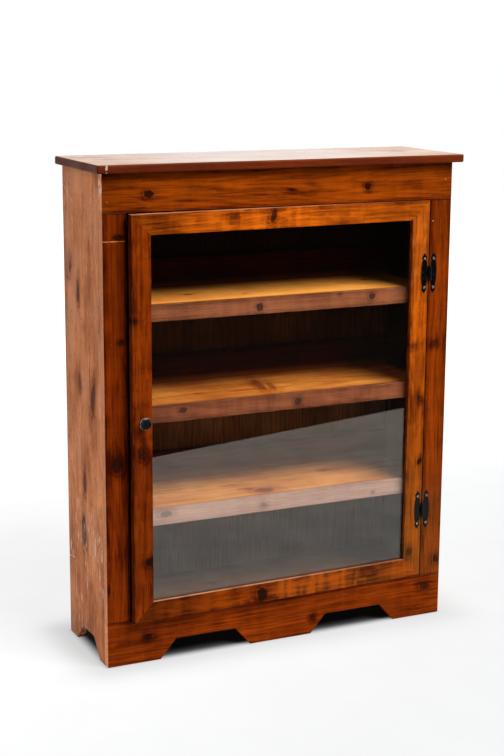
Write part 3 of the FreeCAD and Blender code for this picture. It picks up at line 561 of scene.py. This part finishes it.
def growth_rings(graph, point, push, node, lay, seed):
    """Late wood from 0 to 1, as rings about a pith that runs a little askew behind the board."""
    low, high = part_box(node)
    middle = (low + high) / 2
    side = 1 if seed % 2 else -1
    pith_across = middle[lay[1]] + side * (PITH_ASIDE + PITH_ASIDE_STEP * (seed % 3))
    pith_through = middle[lay[2]] + PITH_BEHIND + PITH_BEHIND_STEP * (seed % 4)
    wander = graph.noise(point, (1.3, 7, 7), shift=seed * 3.7, spread=True)
    bent = graph.vector("MULTIPLY_ADD", wander, (0, 0.045, 0.045), point)
    across = graph.minus(graph.vector("DOT_PRODUCT", bent, (0.02 * side, 1, 0)), push)
    across = graph.minus(across, pith_across)
    through = graph.minus(graph.vector("DOT_PRODUCT", bent, (0.035 * side, 0, 1)), pith_through)
    count = graph.math("DIVIDE", graph.vector("LENGTH", graph.joined(across, through, 0.0)), RING_WIDTH)
    ring = graph.math("FRACT", count)
    number = graph.node("ShaderNodeTexWhiteNoise", noise_dimensions="1D")
    graph.feed(number.inputs["W"], graph.math("FLOOR", count))
    depth = graph.math("MULTIPLY_ADD", number.outputs["Value"], 0.7, 0.3)
    return graph.times(graph.ease(ring, 0.1, 0.8), graph.ease(ring, 1.0, 0.8), depth)


def marked_face(graph, node, place, lay):
    """1 on the face that has the scratches: the left one of a side panel, the front one of a stile or rail
    and the upper one, with its edges, of a board that lies flat."""
    low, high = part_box(node)
    axis = lay[2]
    thickness = high[axis] - low[axis]
    if axis == UP:
        behind = graph.minus(high[axis], place[axis])
        reach = thickness
    else:
        behind = graph.minus(place[axis], low[axis])
        reach = thickness / 3
    return graph.ease(behind, reach + 1 * MM, reach)


def face_gaps(graph, point, node, lay):
    """Distances from the nearer of the board's two ends, of its two edges and of its two faces."""
    low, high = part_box(node)
    gaps = []
    for value, axis in zip(graph.parts(point), lay):
        from_low = graph.minus(value, low[axis])
        from_high = graph.minus(high[axis], value)
        gaps.append(graph.math("MINIMUM", from_low, from_high))
    return gaps


def second_least(graph, first, second, third):
    """Of a surface point's distances to the board's faces, the one to its nearest corner line."""
    least = graph.math("MINIMUM", first, second)
    most = graph.math("MAXIMUM", first, second)
    return graph.math("MAXIMUM", least, graph.math("MINIMUM", most, third))


def stained(colour, share):
    """The colour with more or less stain. Thick stain is redder, so green and blue change more than red."""
    red, green, blue = (min(level * share ** depth, 1.0) for level, depth in zip(colour[:3], STAIN_DEPTH))
    return red, green, blue, 1.0


def upward(graph):
    """1 on surfaces that face up, 0 on edges."""
    normal = graph.node("ShaderNodeTexCoord").outputs["Normal"]
    return graph.ease(graph.parts(normal)[2], 0.9, 0.99)


def bleached_and_sheen_top(graph, node, place, dark, colour):
    """Pale upper face, partly sun-bleached and partly a painted sheen, with its figure showing faintly. The
    edges keep their stain.
    """
    # Partly bleaching, partly a painted sheen
    pale = graph.mix(graph.ease(dark, 0.2, 0.9, 0.0, 0.75), BLEACHED_AND_SHEEN, TONES["top_pine"].early)
    return graph.mix(upward(graph), colour, pale)


def weathered_and_shaded_side(graph, node, place, dark, colour):
    """Pale scuffs low on the outside, blotches, brown dents, dirt at the feet, and painted shade that darkens
    the inside.
    """
    tone = TONES["side_pine"]
    point = graph.joined(*place)
    blotch = graph.noise(point, (14, 14, 7), detail=5.0, shift=1.7)
    colour = graph.mix(graph.ease(blotch, 0.52, 0.66, 0.0, 0.45), colour, SCUFFED)
    colour = graph.mix(graph.ease(blotch, 0.46, 0.34, 0.0, 0.4), colour, tone.late)
    dents = graph.ease(graph.noise(point, (120, 120, 60), detail=3.0, shift=5.1), 0.63, 0.7, 0.0, 0.55)
    colour = graph.mix(dents, colour, tone.late)
    cluster = graph.ease(graph.noise(point, (9, 9, 6), shift=9.4), 0.44, 0.6)
    scuffs = graph.ease(graph.noise(point, (110, 110, 34), detail=6.0), 0.56, 0.64, 0.0, 0.5)
    scuffs = graph.times(scuffs, cluster, graph.ease(place[2], *LOW_SCUFFS))
    colour = graph.mix(scuffs, colour, tone.bare)
    colour = graph.mix(graph.ease(place[2], *FOOT_DIRT, 0.0, 0.2), colour, tone.late)
    # Painted shade on the inner face
    inside = graph.ease(graph.math("ABSOLUTE", place[0]), INNER_X + 4 * MM, INNER_X + 1 * MM)
    return graph.mix(inside, colour, INSIDE_SHADE)


def pale_ends(graph, node, place, dark, colour):
    """Face frame whose outer edges are pale like the sides, partly weathered and partly a painted highlight,
    and rubbed bare near the top.
    """
    tone = TONES["side_pine"]
    outer = graph.ease(graph.math("ABSOLUTE", place[0]), OUTER_X - 1.0 * MM, OUTER_X - 0.3 * MM)
    near_top = graph.ease(place[2], *RUBBED_TOP)
    patchy = graph.ease(graph.noise(graph.joined(*place), (90, 90, 60), detail=4.0), 0.45, 0.6)
    rubbed = graph.times(patchy, graph.math("MULTIPLY_ADD", near_top, 0.5, 0.4))
    wood = graph.mix(graph.ease(dark, 0.0, 1.0, 0.1, 0.5), tone.early, tone.late)
    # The outer edge's pale tone: partly weathering, partly a painted highlight
    edge = graph.mix(rubbed, wood, graph.mix(near_top, SCUFFED, tone.bare))
    return graph.mix(outer, colour, edge)


def shaded_ends(graph, node, place, dark, colour):
    """Edging with painted shade where it meets the sides."""
    gap = graph.minus(INNER_X, graph.math("ABSOLUTE", place[0]))
    # Painted shade where the edging meets the sides
    return graph.mix(graph.ease(gap, 30 * MM, 4 * MM, 0.0, 0.85), colour, SHELF_SHADE)


def shaded_corners(graph, node, place, dark, colour):
    """Shelf with painted shade where it meets the sides and its back rail, and darker and browner towards the
    right as painted shade too.
    """
    colour = shaded_ends(graph, node, place, dark, colour)
    # Painted shade, darker and browner towards the right
    colour = graph.mix(graph.ease(place[0], *SHADED_RIGHT, 0.0, 0.4), colour, SHELF_SHADE)
    # Painted shade towards the back rail
    behind = graph.minus(RAIL_Y, place[1])
    return graph.mix(graph.ease(behind, 50 * MM, 0.0, 0.0, 0.4), colour, SHELF_SHADE)


def worn_and_highlit_ledge(graph, node, place, dark, colour):
    """Door whose upward edges are pale, partly rubbed down to bare wood and partly a painted highlight, most
    of all towards the left.
    """
    patchy = graph.ease(graph.noise(graph.joined(*place), 30, detail=4.0), 0.3, 0.6, 0.5, 1.0)
    rubbed = graph.times(patchy, graph.ease(place[0], *LEDGE_WEAR_AND_HIGHLIGHT, 0.9, 0.3))
    # Partly wear, partly a painted highlight on upward edges
    return graph.mix(graph.times(upward(graph), rubbed), colour, PALE_LEDGE_AND_HIGHLIGHT)


def lit_foot(graph, node, place, dark, colour):
    """Back rail that is lighter and browner just above its shelf, as painted light from the lit shelf."""
    above = graph.minus(place[2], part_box(node.replace("back_rail", "board"))[1].z)
    # Painted light from the shelf below
    return graph.mix(graph.ease(above, 18 * MM, 0.0, 0.0, 0.3), colour, RAIL_FOOT_LIGHT)


# What each kind of board has in places, its real marks and its painted light and shade, given its colour and
# how dark its figure is
ZONES = {
    "top_pine": bleached_and_sheen_top,
    "side_pine": weathered_and_shaded_side,
    "face_pine": pale_ends,
    "door_pine": worn_and_highlit_ledge,
    "shelf_pine": shaded_corners,
    "edging_pine": shaded_ends,
}


def figure(graph, point, noise, node, lay, tone, seed, knots):
    """How dark the grain is, about MEAN_DARK."""
    late = growth_rings(graph, point, knots["Push"], node, lay, seed)
    flame = graph.ease(noise["flame"], 0.38, 0.62)
    patch = graph.ease(noise["patch"], 0.52, 0.58, 0.0, tone.mottle)
    dash = graph.ease(noise["dash"], 0.6, 0.7, 0.0, tone.dashes)
    dark = graph.minus(graph.math("MULTIPLY_ADD", late, tone.rings, MEAN_DARK), patch)
    dark = graph.plus(dark, dash)
    for each, weight in ((noise["fibre"], tone.fibre), (noise["cloud"], tone.cloud),
                         (noise["streak"], tone.streaks), (flame, tone.flames),
                         (noise["band"], BANDS.get(node, tone.bands))):
        dark = graph.plus(dark, swing(graph, each, weight))
    if node in STRIPES:
        dark = graph.plus(dark, tiger_stripes(graph, point, *STRIPES[node]))
    return dark


def tiger_stripes(graph, point, start, end, count, weight):
    """Uneven light and dark bars across the grain, between two places along it."""
    along = graph.parts(point)[0]
    bend = graph.noise(point, (24, 7, 7), shift=2.2)
    turns = graph.times(graph.math("MULTIPLY_ADD", bend, 0.06, along), math.tau * count)
    bars = graph.ease(graph.math("SINE", turns), -0.8, 0.8)
    begun = graph.ease(along, (start - STRIPE_FADE) * MM, (start + STRIPE_FADE) * MM)
    unended = graph.ease(along, (end + STRIPE_FADE) * MM, (end - STRIPE_FADE) * MM)
    uneven = graph.ease(graph.noise(point, (30, 14, 14), shift=6.6), 0.35, 0.65, 0.2, 1.0)
    strength = graph.times(begun, unended, uneven, weight)
    return graph.times(graph.minus(bars, 0.65), strength)


def darkened(graph, dark, knots, gaps, tone, lay_name):
    """How dark the board is, from 0 to 1, with dark round knots, along its edges and at a stile's ends."""
    end_gap, edge_gap = gaps[:2]
    for mask, weight in (("Halo", 0.3), ("Arc", 0.25)):
        dark = graph.plus(dark, graph.times(knots[mask], weight))
    dark = graph.plus(dark, graph.ease(edge_gap, DIRT_REACH, 0.0, 0.0, tone.dirt))
    if lay_name == "stile":
        dark = graph.plus(dark, graph.ease(end_gap, JOINT_REACH, 0.0, 0.0, 1.0))
    return graph.math("MINIMUM", graph.math("MAXIMUM", dark, 0.0), 1.0)


def ramped(graph, node, along, colour):
    """The colour with what changes along the board."""
    for start, end, first, last in FADES.get(node, ()):
        colour = graph.scale(colour, graph.ease(along, start * MM, end * MM, first, last))
    for start, end, share in GILDED.get(node, ()):
        colour = graph.mix(graph.ease(along, start * MM, end * MM, 0.0, share), colour, GOLD)
    return colour


def scarred(graph, node, place, point, lay, tone, colour):
    """The colour with the board's scratches and cracks."""
    for marks, shown in ((SCRATCHES, tone.bare), (CRACKS, CRACK_DARK)):
        if node in marks:
            face = marked_face(graph, node, place, lay)
            mask = graph.times(strokes_on(graph, point, marks[node]), face)
            colour = graph.mix(mask, colour, shown)
    return colour


def pine(node, lay_name, slot, seed):
    """Stained, varnished pine for one board, with its own figure, knots, marks and worn edges."""
    tone = OWN_TONES.get(node, TONES[slot])
    tint = TINTS.get(node, 1.0)
    lay = LAYS[lay_name]
    material, graph = new_material(node + "_pine")
    place = graph.parts(graph.place())
    point = graph.joined(*[place[axis] for axis in lay])
    knots = knots_on(graph, point, node)
    gaps = face_gaps(graph, point, node, lay)
    noise = {part: graph.noise(point, bumps, detail=detail, shift=seed * step)
             for part, (bumps, detail, step) in GRAIN.items()}
    dark = figure(graph, point, noise, node, lay, tone, seed, knots)
    dark = darkened(graph, dark, knots, gaps, tone, lay_name)
    colour = graph.mix(dark, stained(tone.early, tint), stained(tone.late, tint))
    colour = ramped(graph, node, place[lay[0]], colour)
    colour = graph.mix(graph.times(knots["Core"], 0.92), colour, tone.knot)
    colour = graph.mix(graph.times(knots["Heart"], 0.8), colour, tone.heart)
    flecks = graph.ease(noise["fleck"], 0.74, 0.82, 0.0, tone.flecks)
    colour = graph.mix(flecks, colour, tone.bare)
    zone = lit_foot if node.endswith("back_rail") else ZONES.get(slot)
    if zone:
        colour = zone(graph, node, place, dark, colour)
    worn = graph.ease(second_least(graph, *gaps), *WORN_EDGE)
    patchy = graph.ease(noise["wear"], 0.42, 0.66, 0.0, tone.wear)
    colour = graph.mix(graph.times(worn, patchy), colour, tone.bare)
    colour = scarred(graph, node, place, point, lay, tone, colour)
    height = graph.minus(graph.times(noise["fibre"], 0.8), graph.times(knots["Core"], 0.3))
    looks = {"Base_Color": colour,
             "Roughness": graph.ease(noise["cloud"], 0.3, 0.7, tone.rough - 0.06, tone.rough + 0.1),
             "Specular_IOR_Level": tone.shine,
             "Normal": graph.bump(height, FIBRE_HEIGHT, tone.relief)}
    if slot == "top_pine":
        looks["Coat_Weight"] = upper_varnish(graph, place)
        looks["Coat_Roughness"] = VARNISH_ROUGHNESS
    return painted(material, graph, **looks)


def upper_varnish(graph, place):
    """Weight of the glossy varnish on the upper face, rubbed thinner towards the ends."""
    thin = graph.ease(graph.math("ABSOLUTE", place[0]), *THIN_VARNISH, 0.48, 1.0)
    return graph.times(upward(graph), thin)


def pine_boards():
    """The way that every pine node lies."""
    lays = {"top_board": "flat", "bottom_board": "flat", "door_mitre_splines": "rail",
            "door_stop_strip": "stile"}
    for side in ("left", "right"):
        lays[f"{side}_side_panel"] = "side"
        lays[f"face_{side}_stile"] = "stile"
        lays[f"door_{side}_stile"] = "stile"
        lays[f"{side}_glazing_bead"] = "stile"
    for end in ("top", "bottom"):
        lays[f"face_{end}_rail"] = "rail"
        lays[f"door_{end}_rail"] = "rail"
        lays[f"{end}_glazing_bead"] = "rail"
    for level in ("upper", "middle", "lower"):
        lays[f"{level}_shelf_board"] = "flat"
        lays[f"{level}_shelf_edging"] = "rail"
        lays[f"{level}_shelf_back_rail"] = "rail"
    for level in ("upper", "middle", "lower", "floor"):
        lays[f"left_{level}_cleat"] = "cleat"
        lays[f"right_{level}_cleat"] = "cleat"
    return lays


def dress_pine():
    for seed, (node, lay_name) in enumerate(pine_boards().items(), start=1):
        dress(node, pine(node, lay_name, SLOTS[node], seed))


# Other materials

HARDBOARD = (shade(84, 54, 26), shade(120, 84, 46))
HARDBOARD_THREAD = shade(48, 26, 10)
# Painted shade high up on the back's inner face
UPPER_SHADE = shade(14, 5, 2)
GLASS_SHINE = 0.047
GLASS_CLEAR = (0.985, 0.992, 0.986, 1)
# Tints of the glass's reflection, low and high up; the warmer one high up is a painted reflection
GLASS_MIRROR = ((1, 0.93, 0.87, 1), (1, 0.88, 0.76, 1))
DUST = (0.8, 0.8, 0.78, 1)
DUST_FILM = 0.025
JAPAN_BLACK = shade(5, 5, 6)
IRON_BROWN = shade(24, 19, 16)
SCREW_BLACK = shade(16, 15, 14)
SCREW_BRIGHT = shade(170, 164, 154)
RIM_BRIGHT = shade(176, 170, 160)
RIM_REACH = 0.4 * MM
STEEL_GREY = (shade(128, 126, 122), shade(176, 174, 170))
RUST = shade(88, 50, 28)
PLASTIC_BROWN = (shade(72, 46, 28), shade(92, 62, 40))
FERRITE_GREY = (shade(38, 38, 40), shade(66, 66, 68))
FILLER_BROWN = (shade(40, 14, 5), shade(92, 42, 16))

# Height of the fine grain on metal, plastic and filler
FINE_GRAIN = 0.1 * MM


def back_board():
    """Dark stained hardboard with faint upright threads, with painted shade that darkens it high up on its
    inner face.
    """
    material, graph = new_material("back_board")
    point = graph.place()
    depth, height = graph.parts(point)[1:]
    inner_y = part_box("back_panel")[0].y
    inner = graph.ease(depth, inner_y + 1.5 * MM, inner_y + 0.5 * MM)
    cloud = graph.noise(point, (6, 6, 4), detail=4.0)
    thread = graph.noise(point, (380, 380, 14))
    # Painted shade, darker high up on the inner face
    high_shade = graph.times(inner, graph.ease(height, *HIGH_SHADE_HEIGHTS, 0.0, 0.9))
    colour = graph.mix(graph.ease(cloud, 0.35, 0.7), *HARDBOARD)
    colour = graph.mix(graph.ease(thread, 0.4, 0.62, 0.0, 0.45), colour, HARDBOARD_THREAD)
    colour = graph.mix(high_shade, colour, UPPER_SHADE)
    return painted(material, graph, Base_Color=colour, Roughness=graph.ease(cloud, 0.3, 0.7, 0.6, 0.75),
                   Specular_IOR_Level=0.0, Normal=graph.bump(thread, 0.2 * MM, 0.15))


def glass():
    """Old window glass, thin enough not to bend what is behind it, with faint streaks of wiped dust, and a
    reflection tinted warmer high up as a painted reflection.
    """
    material, graph = new_material("cabinet_glass")
    point = graph.place()
    place = graph.parts(point)
    wipes = graph.ease(graph.noise(point, (210, 210, 1.4)), 0.62, 0.72)
    patch = graph.times(graph.ease(place[0], *WIPED_ACROSS), graph.ease(place[2], *WIPED_HEIGHTS))
    film = graph.times(wipes, patch, DUST_FILM)
    facing = graph.node("ShaderNodeLayerWeight").outputs["Facing"]
    shine = graph.math("MULTIPLY_ADD", graph.math("POWER", facing, 5.0), 1 - GLASS_SHINE, GLASS_SHINE)
    through = graph.node("ShaderNodeBsdfTransparent")
    through.inputs["Color"].default_value = GLASS_CLEAR
    mirror = graph.node("ShaderNodeBsdfGlossy")
    mirror.inputs["Roughness"].default_value = 0.0
    # Painted reflection: the reflection turns warmer high up
    graph.feed(mirror.inputs["Color"], graph.mix(graph.ease(place[2], *MIRROR_HEIGHTS), *GLASS_MIRROR))
    dust = graph.node("ShaderNodeBsdfDiffuse")
    dust.inputs["Color"].default_value = DUST
    clean = graph.blend(shine, through.outputs[0], mirror.outputs[0])
    graph.finish(graph.blend(film, clean, dust.outputs[0]))
    return material


def black_iron():
    """Black japanned iron, faintly hammered, rubbed brown in places."""
    material, graph = new_material("black_iron")
    point = graph.place()
    dents = graph.noise(point, 260)
    rubbed = graph.ease(graph.noise(point, 130, detail=4.0, shift=3.0), 0.58, 0.75)
    colour = graph.mix(rubbed, JAPAN_BLACK, IRON_BROWN)
    return painted(material, graph, Base_Color=colour, Roughness=graph.ease(rubbed, 0.0, 1.0, 0.22, 0.4),
                   Specular_IOR_Level=0.13, Normal=graph.bump(dents, 0.6 * MM, 0.12))


def rubbed_screw():
    """Blackened screw, rubbed down to bright steel in places."""
    material, graph = new_material("rubbed_screw")
    grit = graph.noise(graph.place(), 600, detail=4.0)
    bright = graph.ease(grit, 0.46, 0.6)
    colour = graph.mix(bright, SCREW_BLACK, SCREW_BRIGHT)
    return painted(material, graph, Base_Color=colour, Metallic=graph.times(bright, 0.8),
                   Roughness=graph.ease(bright, 0.0, 1.0, 0.5, 0.3),
                   Normal=graph.bump(grit, FINE_GRAIN, 0.3))


def black_knob():
    """Glossy black knob whose rim is bright in patches."""
    material, graph = new_material("black_knob")
    low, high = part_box("door_knob")
    middle = (low + high) / 2
    knob_radius = (high.z - low.z) / 2
    point = graph.place()
    away = graph.vector("SUBTRACT", point, (middle.x, 0, middle.z))
    radius = graph.vector("LENGTH", graph.vector("MULTIPLY", away, (1, 0, 1)))
    grit = graph.noise(point, 500, detail=3.0)
    patchy = graph.ease(graph.noise(point, 140, shift=4.0), 0.36, 0.56)
    ragged = graph.math("MULTIPLY_ADD", grit, 1 * MM, radius)
    rim = graph.times(patchy, graph.ease(ragged, knob_radius - RIM_REACH, knob_radius + RIM_REACH))
    colour = graph.mix(rim, JAPAN_BLACK, RIM_BRIGHT)
    return painted(material, graph, Base_Color=colour, Metallic=graph.times(rim, 0.7),
                   Roughness=graph.ease(grit, 0.3, 0.7, 0.16, 0.3), Specular_IOR_Level=0.3,
                   Normal=graph.bump(grit, FINE_GRAIN, 0.2))


def steel():
    """Dull steel with brown specks of rust."""
    material, graph = new_material("dull_steel")
    point = graph.place()
    brushed = graph.noise(point, (300, 2000, 2000))
    rust = graph.ease(graph.noise(point, 180, detail=5.0, shift=2.0), 0.52, 0.68)
    colour = graph.mix(brushed, *STEEL_GREY)
    colour = graph.mix(graph.times(rust, 0.8), colour, RUST)
    return painted(material, graph, Base_Color=colour, Metallic=graph.ease(rust, 0.0, 1.0, 1.0, 0.2),
                   Roughness=graph.ease(rust, 0.0, 1.0, 0.35, 0.8),
                   Normal=graph.bump(brushed, FINE_GRAIN, 0.3))


def brown_plastic():
    """Brown moulded plastic with a fine grain."""
    material, graph = new_material("brown_plastic")
    grit = graph.noise(graph.place(), 900)
    cloud = graph.noise(graph.place(), 40)
    colour = graph.mix(cloud, *PLASTIC_BROWN)
    return painted(material, graph, Base_Color=colour, Roughness=graph.ease(grit, 0.3, 0.7, 0.4, 0.55),
                   Normal=graph.bump(grit, FINE_GRAIN, 0.3))


def ferrite():
    """Dark grey sintered magnet."""
    material, graph = new_material("ferrite")
    grit = graph.noise(graph.place(), 1500, detail=3.0)
    colour = graph.mix(grit, *FERRITE_GREY)
    return painted(material, graph, Base_Color=colour, Roughness=graph.ease(grit, 0.3, 0.7, 0.6, 0.8),
                   Normal=graph.bump(grit, FINE_GRAIN, 0.4))


def putty():
    """Stained wood filler over the nail heads."""
    material, graph = new_material("putty")
    grit = graph.noise(graph.place(), 700, detail=3.0)
    colour = graph.mix(grit, *FILLER_BROWN)
    return painted(material, graph, Base_Color=colour, Roughness=graph.ease(grit, 0.3, 0.7, 0.5, 0.7),
                   Specular_IOR_Level=0.1, Normal=graph.bump(grit, 2 * FINE_GRAIN, 0.4))


def dress_rest():
    """Gives every node that isn't pine its material: filler over nail heads, rubbed hinge screws, and for
    the rest what the record's slots say."""
    makers = {"back_board": back_board, "glass": glass, "black_iron": black_iron, "black_knob": black_knob,
              "steel": steel, "catch_plastic": brown_plastic, "magnet": ferrite}
    made = {slot: maker() for slot, maker in makers.items()}
    for node, slot in SLOTS.items():
        if slot in made:
            dress(node, made[slot])
    filler = putty()
    for node in ("face_frame_nails", "top_nails"):
        dress(node, filler)
    screw = rubbed_screw()
    for node in ("frame_hinge_screws", "door_hinge_screws"):
        dress(node, screw)


# Floor, light and camera


def new_object(name, data):
    made = bpy.data.objects.new(name, data)
    bpy.context.scene.collection.objects.link(made)
    return made


def sheet_object(name, corners, material):
    """Flat sheet with these corners that belongs to the stage."""
    mesh = bpy.data.meshes.new(name)
    mesh.from_pydata(corners, [], [range(len(corners))])
    mesh.materials.append(material)
    made = new_object(name, mesh)
    return made


def seen_rays(graph):
    """1 for rays from the camera and rays that gloss or glass sends on, 0 for soft light."""
    path = graph.node("ShaderNodeLightPath")
    seen = graph.math("MAXIMUM", path.outputs["Is Camera Ray"], path.outputs["Is Glossy Ray"])
    return graph.math("MAXIMUM", seen, path.outputs["Is Transmission Ray"])


def off_footprint(graph, point):
    """Distance on the floor outside the cabinet's footprint, and less than 0 under it."""
    low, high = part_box("left_side_panel")
    half_width = -low.x
    middle_y = (FACE_Y + high.y) / 2
    half_depth = (high.y - FACE_Y) / 2
    x, y = graph.parts(point)[:2]
    aside = graph.minus(graph.math("ABSOLUTE", x), half_width)
    ahead = graph.minus(graph.math("ABSOLUTE", graph.minus(y, middle_y)), half_depth)
    corner = graph.joined(graph.math("MAXIMUM", aside, 0.0), graph.math("MAXIMUM", ahead, 0.0), 0.0)
    inside = graph.math("MINIMUM", graph.math("MAXIMUM", aside, ahead), 0.0)
    return graph.plus(graph.vector("LENGTH", corner), inside)


def floor_glow(graph, point, away):
    """How brightly the pale floor glows, with cloudy marks that show mostly in mirrors."""
    total = 0.0
    for start, end, level in GLOW_STEPS:
        total = graph.plus(total, graph.ease(away, start, end, 0.0, level))
    along_walls = graph.vector("DOT_PRODUCT", point, WALL_SIDE)
    walls = graph.ease(along_walls, -WALL_GLOW_REACH, WALL_GLOW_REACH, 0.0, WALL_GLOW)
    total = graph.plus(total, graph.times(walls, graph.ease(away, 0.0, 0.1)))
    mirrored = graph.node("ShaderNodeLightPath").outputs["Is Glossy Ray"]
    clouds = graph.minus(graph.noise(point, 9, detail=6.0, shift=3.3), 0.5)
    clouds = graph.times(clouds, graph.math("MULTIPLY_ADD", mirrored, 0.9, 0.06))
    return graph.times(total, graph.plus(clouds, 1.0))


def pale_floor():
    """Pale floor that keeps the cabinet's shadow, with painted shade deepening it near and under the cabinet,
    and goes to plain white away from it.
    """
    material, graph = new_material("pale_floor")
    point = graph.place()
    seen = seen_rays(graph)
    away = off_footprint(graph, point)
    pale = graph.mix(graph.noise(point, 1.1, detail=4.0), *FLOOR_SEEN)
    pale = graph.scale(pale, graph.ease(away, -UNDER_REACH, 0.0, UNDER_SHADE, 1.0))
    colour = graph.mix(seen, FLOOR_LIT, pale)
    diffuse = graph.surface(Base_Color=colour, Roughness=0.7, Specular_IOR_Level=0.0)
    glow = graph.node("ShaderNodeEmission")
    graph.feed(glow.inputs["Strength"], graph.times(seen, floor_glow(graph, point, away)))
    both = graph.node("ShaderNodeAddShader")
    graph.feed_all(both, (diffuse, glow.outputs[0]))
    graph.finish(both.outputs[0])
    return material


def dark_card():
    """Dark cloth or card, which gloss shows."""
    material, graph = new_material("dark_card")
    cloud = graph.noise(graph.place(), 0.8, detail=3.0)
    colour = graph.mix(cloud, *CARD_DARK)
    return painted(material, graph, Base_Color=colour, Roughness=0.9, Specular_IOR_Level=0.0)


def only_in_gloss(made):
    """Hides an object from all but glossy rays."""
    made.visible_camera = False
    made.visible_diffuse = False
    made.visible_transmission = False
    made.visible_shadow = False


def stage():
    """Pale floor that ends in front of the cabinet, and a dark floor and card that only gloss shows."""
    left = -FLOOR_REACH
    right = FLOOR_REACH
    back = FLOOR_REACH
    left_front = FACE_Y - SHEET_FRONT - SHEET_SLANT * left
    right_front = FACE_Y - SHEET_FRONT - SHEET_SLANT * right
    floor = [(left, left_front, 0), (right, right_front, 0), (right, back, 0), (left, back, 0)]
    dark_floor = [(left, -CARD_DISTANCE, -DARK_DROP), (right, -CARD_DISTANCE, -DARK_DROP),
                  (right, right_front, -DARK_DROP), (left, left_front, -DARK_DROP)]
    dark_wall = [(-CARD_REACH, -CARD_DISTANCE, -DARK_DROP), (-CARD_REACH, -CARD_DISTANCE, CARD_REACH),
                 (CARD_REACH, -CARD_DISTANCE, CARD_REACH), (CARD_REACH, -CARD_DISTANCE, -DARK_DROP)]
    sheet_object("floor", floor, pale_floor())
    dark = dark_card()
    only_in_gloss(sheet_object("dark_floor", dark_floor, dark))
    only_in_gloss(sheet_object("dark_wall", dark_wall, dark))


def world():
    """White to the eye, and soft light that comes mostly from behind and from the left."""
    made = bpy.data.worlds.new("studio")
    made.use_nodes = True
    made.node_tree.nodes.clear()
    graph = Graph(made.node_tree)
    back = graph.node("ShaderNodeBackground")
    way = graph.node("ShaderNodeTexCoord").outputs["Generated"]
    soft = graph.ease(graph.vector("DOT_PRODUCT", way, WALL_SIDE), -0.5, 0.5, FRONT_LIGHT, WALL_LIGHT)
    graph.feed(back.inputs["Strength"], graph.math("MAXIMUM", seen_rays(graph), soft))
    graph.feed(graph.node("ShaderNodeOutputWorld").inputs["Surface"], back.outputs[0])
    back.inputs["Color"].default_value = (1, 1, 1, 1)
    bpy.context.scene.world = made


def key_light():
    """Large soft lamp, high in front on the right."""
    lamp = bpy.data.lights.new("key", "AREA")
    lamp.shape = "RECTANGLE"
    lamp.size, lamp.size_y = KEY_SIZE
    lamp.energy = KEY_POWER
    made = new_object("key", lamp)
    made.location = KEY_PLACE
    made.rotation_mode = "QUATERNION"
    made.rotation_quaternion = (Vector(KEY_TARGET) - Vector(KEY_PLACE)).to_track_quat("-Z", "Y")


def camera():
    """Camera that sees the cabinet as it was photographed."""
    yaw = math.radians(CAMERA_YAW)
    pitch = math.radians(CAMERA_PITCH)
    ahead = Vector((math.sin(yaw) * math.cos(pitch), math.cos(yaw) * math.cos(pitch), math.sin(pitch)))
    right = Vector((math.cos(yaw), -math.sin(yaw), 0))
    axes = Matrix((right, right.cross(ahead), -ahead)).transposed().to_4x4()
    place = Matrix.Translation(Vector(CAMERA_PLACE) + Vector((0, FACE_Y, 0)))
    roll = Matrix.Rotation(math.radians(CAMERA_ROLL), 4, "Z")
    data = bpy.data.cameras.new("camera")
    data.sensor_width = SENSOR_WIDTH
    data.lens = CAMERA_LENS
    made = new_object("camera", data)
    made.matrix_world = place @ axes @ roll
    bpy.context.scene.camera = made


dress_pine()
dress_rest()
stage()
world()
key_light()
camera()
bpy.context.scene.view_settings.view_transform = "Standard"
